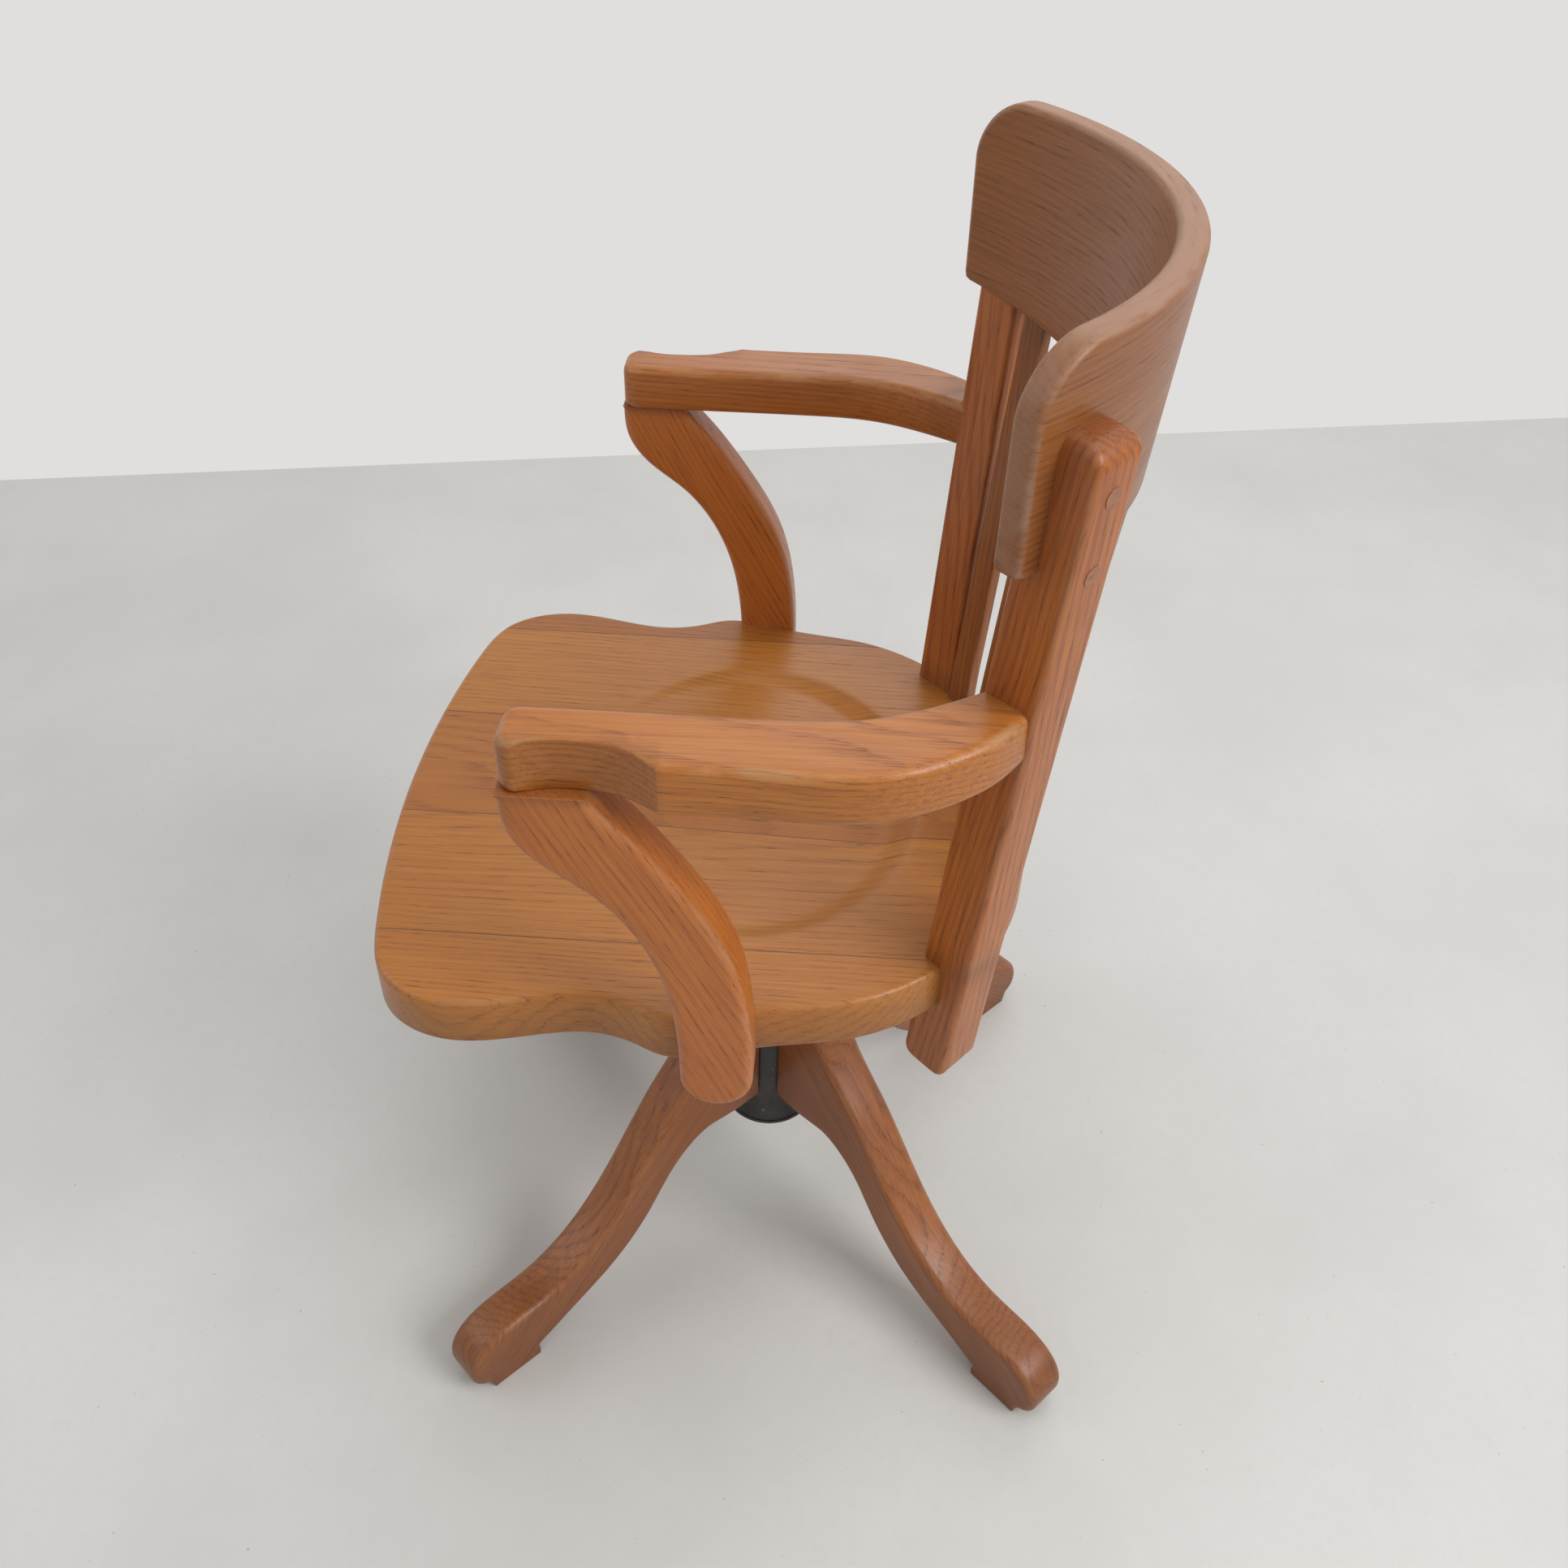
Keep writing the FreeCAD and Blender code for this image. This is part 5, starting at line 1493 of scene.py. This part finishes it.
@dataclass
class Studio:
    """Floor, lamps and the camera at the photograph's angle."""

    eye: tuple[float, float, float] = (0.83657, 0.04125, 1.15046)
    yaw: float = 0.04232
    pitch: float = 0.69038
    roll: float = 0.02857
    lens: float = 33.43
    lamps: list[tuple[tuple[float, float, float], float, float]] = field(default_factory=lambda: [
        ((1.3, 2.4, 2.5), 1.6, 60.0),
        ((0.4, -2.8, 2.6), 2.2, 17.0),
        ((-2.6, 0.6, 2.8), 2.4, 20.0),
        ((0.2, 0.6, 3.4), 2.0, 22.0),
    ])
    sky: Colour = (0.95, 0.95, 0.95)
    sky_strength: float = 0.48
    wall: Colour = (0.745, 0.737, 0.723)
    floor_reach: float = 14.0
    floor_far: float = -1.472
    floor_slant: float = -0.193

    def build(self) -> None:
        """Makes the floor, the lamps, the world and the camera."""
        floor_mesh = bpy.data.meshes.new("floor")
        reach = self.floor_reach
        far_left, far_right = (self.floor_far + self.floor_slant * y for y in (-reach, reach))
        floor_mesh.from_pydata([(far_left, -reach, 0), (reach, -reach, 0), (reach, reach, 0),
                                (far_right, reach, 0)], [], [(0, 1, 2, 3)])
        floor = bpy.data.objects.new("floor", floor_mesh)
        floor_mesh.materials.append(FloorFinish().dress())
        bpy.context.scene.collection.objects.link(floor)
        floor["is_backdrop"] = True
        for number, (spot, width, power) in enumerate(self.lamps):
            lamp = bpy.data.lights.new(f"softbox_{number + 1}", "AREA")
            lamp.shape = "SQUARE"
            lamp.size = width
            lamp.energy = power
            holder = bpy.data.objects.new(lamp.name, lamp)
            holder.location = spot
            holder.rotation_mode = "QUATERNION"
            aim = Vector((0.0, 0.0, 0.45)) - Vector(spot)
            holder.rotation_quaternion = aim.to_track_quat("-Z", "Y")
            bpy.context.scene.collection.objects.link(holder)
        self._surroundings()
        self._camera()
        bpy.context.scene.view_settings.view_transform = "Standard"

    def _surroundings(self) -> None:
        """Sets the soft light from all round, and the pale wall that the camera sees behind the floor."""
        bench = Bench(bpy.data.worlds.new("studio"))
        light = bench.node("ShaderNodeBackground", {}, {"Color": self.sky, "Strength": self.sky_strength})
        wall = bench.node("ShaderNodeBackground", {}, {"Color": self.wall, "Strength": 1.0})
        camera, glossy, through = (bench.node("ShaderNodeLightPath", {}, {}, ray) for ray in (
            "Is Camera Ray", "Is Glossy Ray", "Is Transmission Ray"))
        seen = camera.most(glossy).most(through)
        shown = bench.node("ShaderNodeMixShader", {}, {0: seen, 1: light, 2: wall})
        bench.node("ShaderNodeOutputWorld", {}, {"Surface": shown})
        bpy.context.scene.world = bench.owner

    def _camera(self) -> None:
        """Sets the camera where the photograph was taken from."""
        forward = Vector((-math.cos(self.yaw) * math.cos(self.pitch),
                          -math.sin(self.yaw) * math.cos(self.pitch), -math.sin(self.pitch)))
        right = forward.cross(Vector((0.0, 0.0, 1.0))).normalized()
        up = right.cross(forward)
        rolled_right = math.cos(self.roll) * right + math.sin(self.roll) * up
        rolled_up = math.cos(self.roll) * up - math.sin(self.roll) * right
        camera = bpy.data.cameras.new("photo_camera")
        camera.lens = self.lens
        camera.sensor_width = 36.0
        holder = bpy.data.objects.new("photo_camera", camera)
        turned = Matrix((rolled_right, rolled_up, -forward)).transposed().to_4x4()
        holder.matrix_world = Matrix.Translation(self.eye) @ turned
        bpy.context.scene.collection.objects.link(holder)
        bpy.context.scene.camera = holder


def oak_finishes() -> dict[str, bpy.types.Material]:
    """The oak of each kind of piece.

    Returns:
        Materials by piece.
    """
    seat = OakFinish("oak_seat", pale=(0.498, 0.193, 0.032), warm=(0.434, 0.150, 0.023),
                     brown=(0.275, 0.075, 0.012), board_width=0.121, figure=0.60, wear=0.22, fleck=0.22)
    crest = OakFinish("oak_crest", pale=(0.333, 0.124, 0.029), warm=(0.265, 0.084, 0.020),
                      brown=(0.157, 0.040, 0.011), wear=0.55, rim_wear=0.62, bare=(0.33, 0.185, 0.115),
                      cut=Cut.RIFT, figure=0.5)
    post = OakFinish("oak_post", pale=(0.485, 0.158, 0.028), warm=(0.399, 0.112, 0.019),
                     brown=(0.216, 0.046, 0.009), cut=Cut.RIFT, figure=0.75, wear=0.25)
    arm = OakFinish("oak_arm", pale=(0.490, 0.172, 0.029), warm=(0.420, 0.132, 0.019),
                    brown=(0.250, 0.063, 0.011), wear=0.45, figure=0.6, bare=(0.50, 0.30, 0.14))
    support = OakFinish("oak_support", pale=(0.562, 0.182, 0.030), warm=(0.466, 0.133, 0.023),
                        brown=(0.287, 0.071, 0.015), wear=0.25, figure=0.5, cut=Cut.RIFT)
    slat = OakFinish("oak_slat", pale=(0.353, 0.124, 0.022), warm=(0.274, 0.084, 0.015),
                     brown=(0.147, 0.034, 0.007), wear=0.2, figure=0.6, cut=Cut.QUARTER)
    leg = OakFinish("oak_leg", pale=(0.353, 0.116, 0.026), warm=(0.274, 0.082, 0.018),
                    brown=(0.137, 0.032, 0.009), wear=0.30, figure=0.6, bare=(0.40, 0.20, 0.10), grime=0.7)
    kinds = {"seat": seat, "crest": crest, "post": post, "arm": arm, "support": support, "slat": slat,
             "leg": leg}
    return {key: finish.dress() for key, finish in kinds.items()}


def metal_finishes() -> dict[str, bpy.types.Material]:
    """The finishes of the parts that keep their own shapes.

    Returns:
        Materials by group.
    """
    return {
        "black": IronFinish().dress(),
        "steel": TurnedMetalFinish("turned_steel", (0.42, 0.41, 0.39), (0.16, 0.11, 0.08)).dress(),
        "brass": TurnedMetalFinish("turned_brass", (0.56, 0.40, 0.17), (0.24, 0.15, 0.06)).dress(),
        "plugs": PlugFinish().dress(),
        "dowels": PlugFinish("beech_dowel", (0.60, 0.42, 0.25), (0.42, 0.26, 0.14)).dress(),
    }


def write_sizes() -> None:
    """Measures the boxes of the CAD model and of the dressed one, and keeps nothing."""
    boxes = {"cad": CAD_BOX, "visual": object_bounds()}
    {key: [list(low), list(high)] for key, (low, high) in boxes.items()}


def main() -> None:
    """Builds the chair's visible pieces and the studio."""
    logging.basicConfig(level=logging.INFO, format="%(name)s: %(message)s")
    oak = oak_finishes()
    seat_board, back, arms, legs = SeatBoard(), BackFrame(), Arms(), Legs()

    crest = back.crest()
    posts = {hand: back.post(hand) for hand in Hand}
    slats = back.slats(seat_board)
    arm_pieces = {hand: arms.arm(hand, back) for hand in Hand}
    supports = {hand: arms.support(hand, seat_board.top) for hand in Hand}
    seat = seat_board.build()
    for hand in Hand:
        carve(seat, posts[hand], supports[hand])
        carve(posts[hand], crest)
        carve(arm_pieces[hand], posts[hand])
    leg_pieces = [legs.leg(index) for index in range(len(legs.names))]

    seat_board.dress(seat, oak["seat"])
    back.dress(posts, crest, slats, oak)
    arms.dress(arm_pieces, supports, oak)
    legs.dress(leg_pieces, oak["leg"])
    Ironwork().dress(metal_finishes())
    Studio().build()
    write_sizes()


if __name__ == "__main__":
    main()
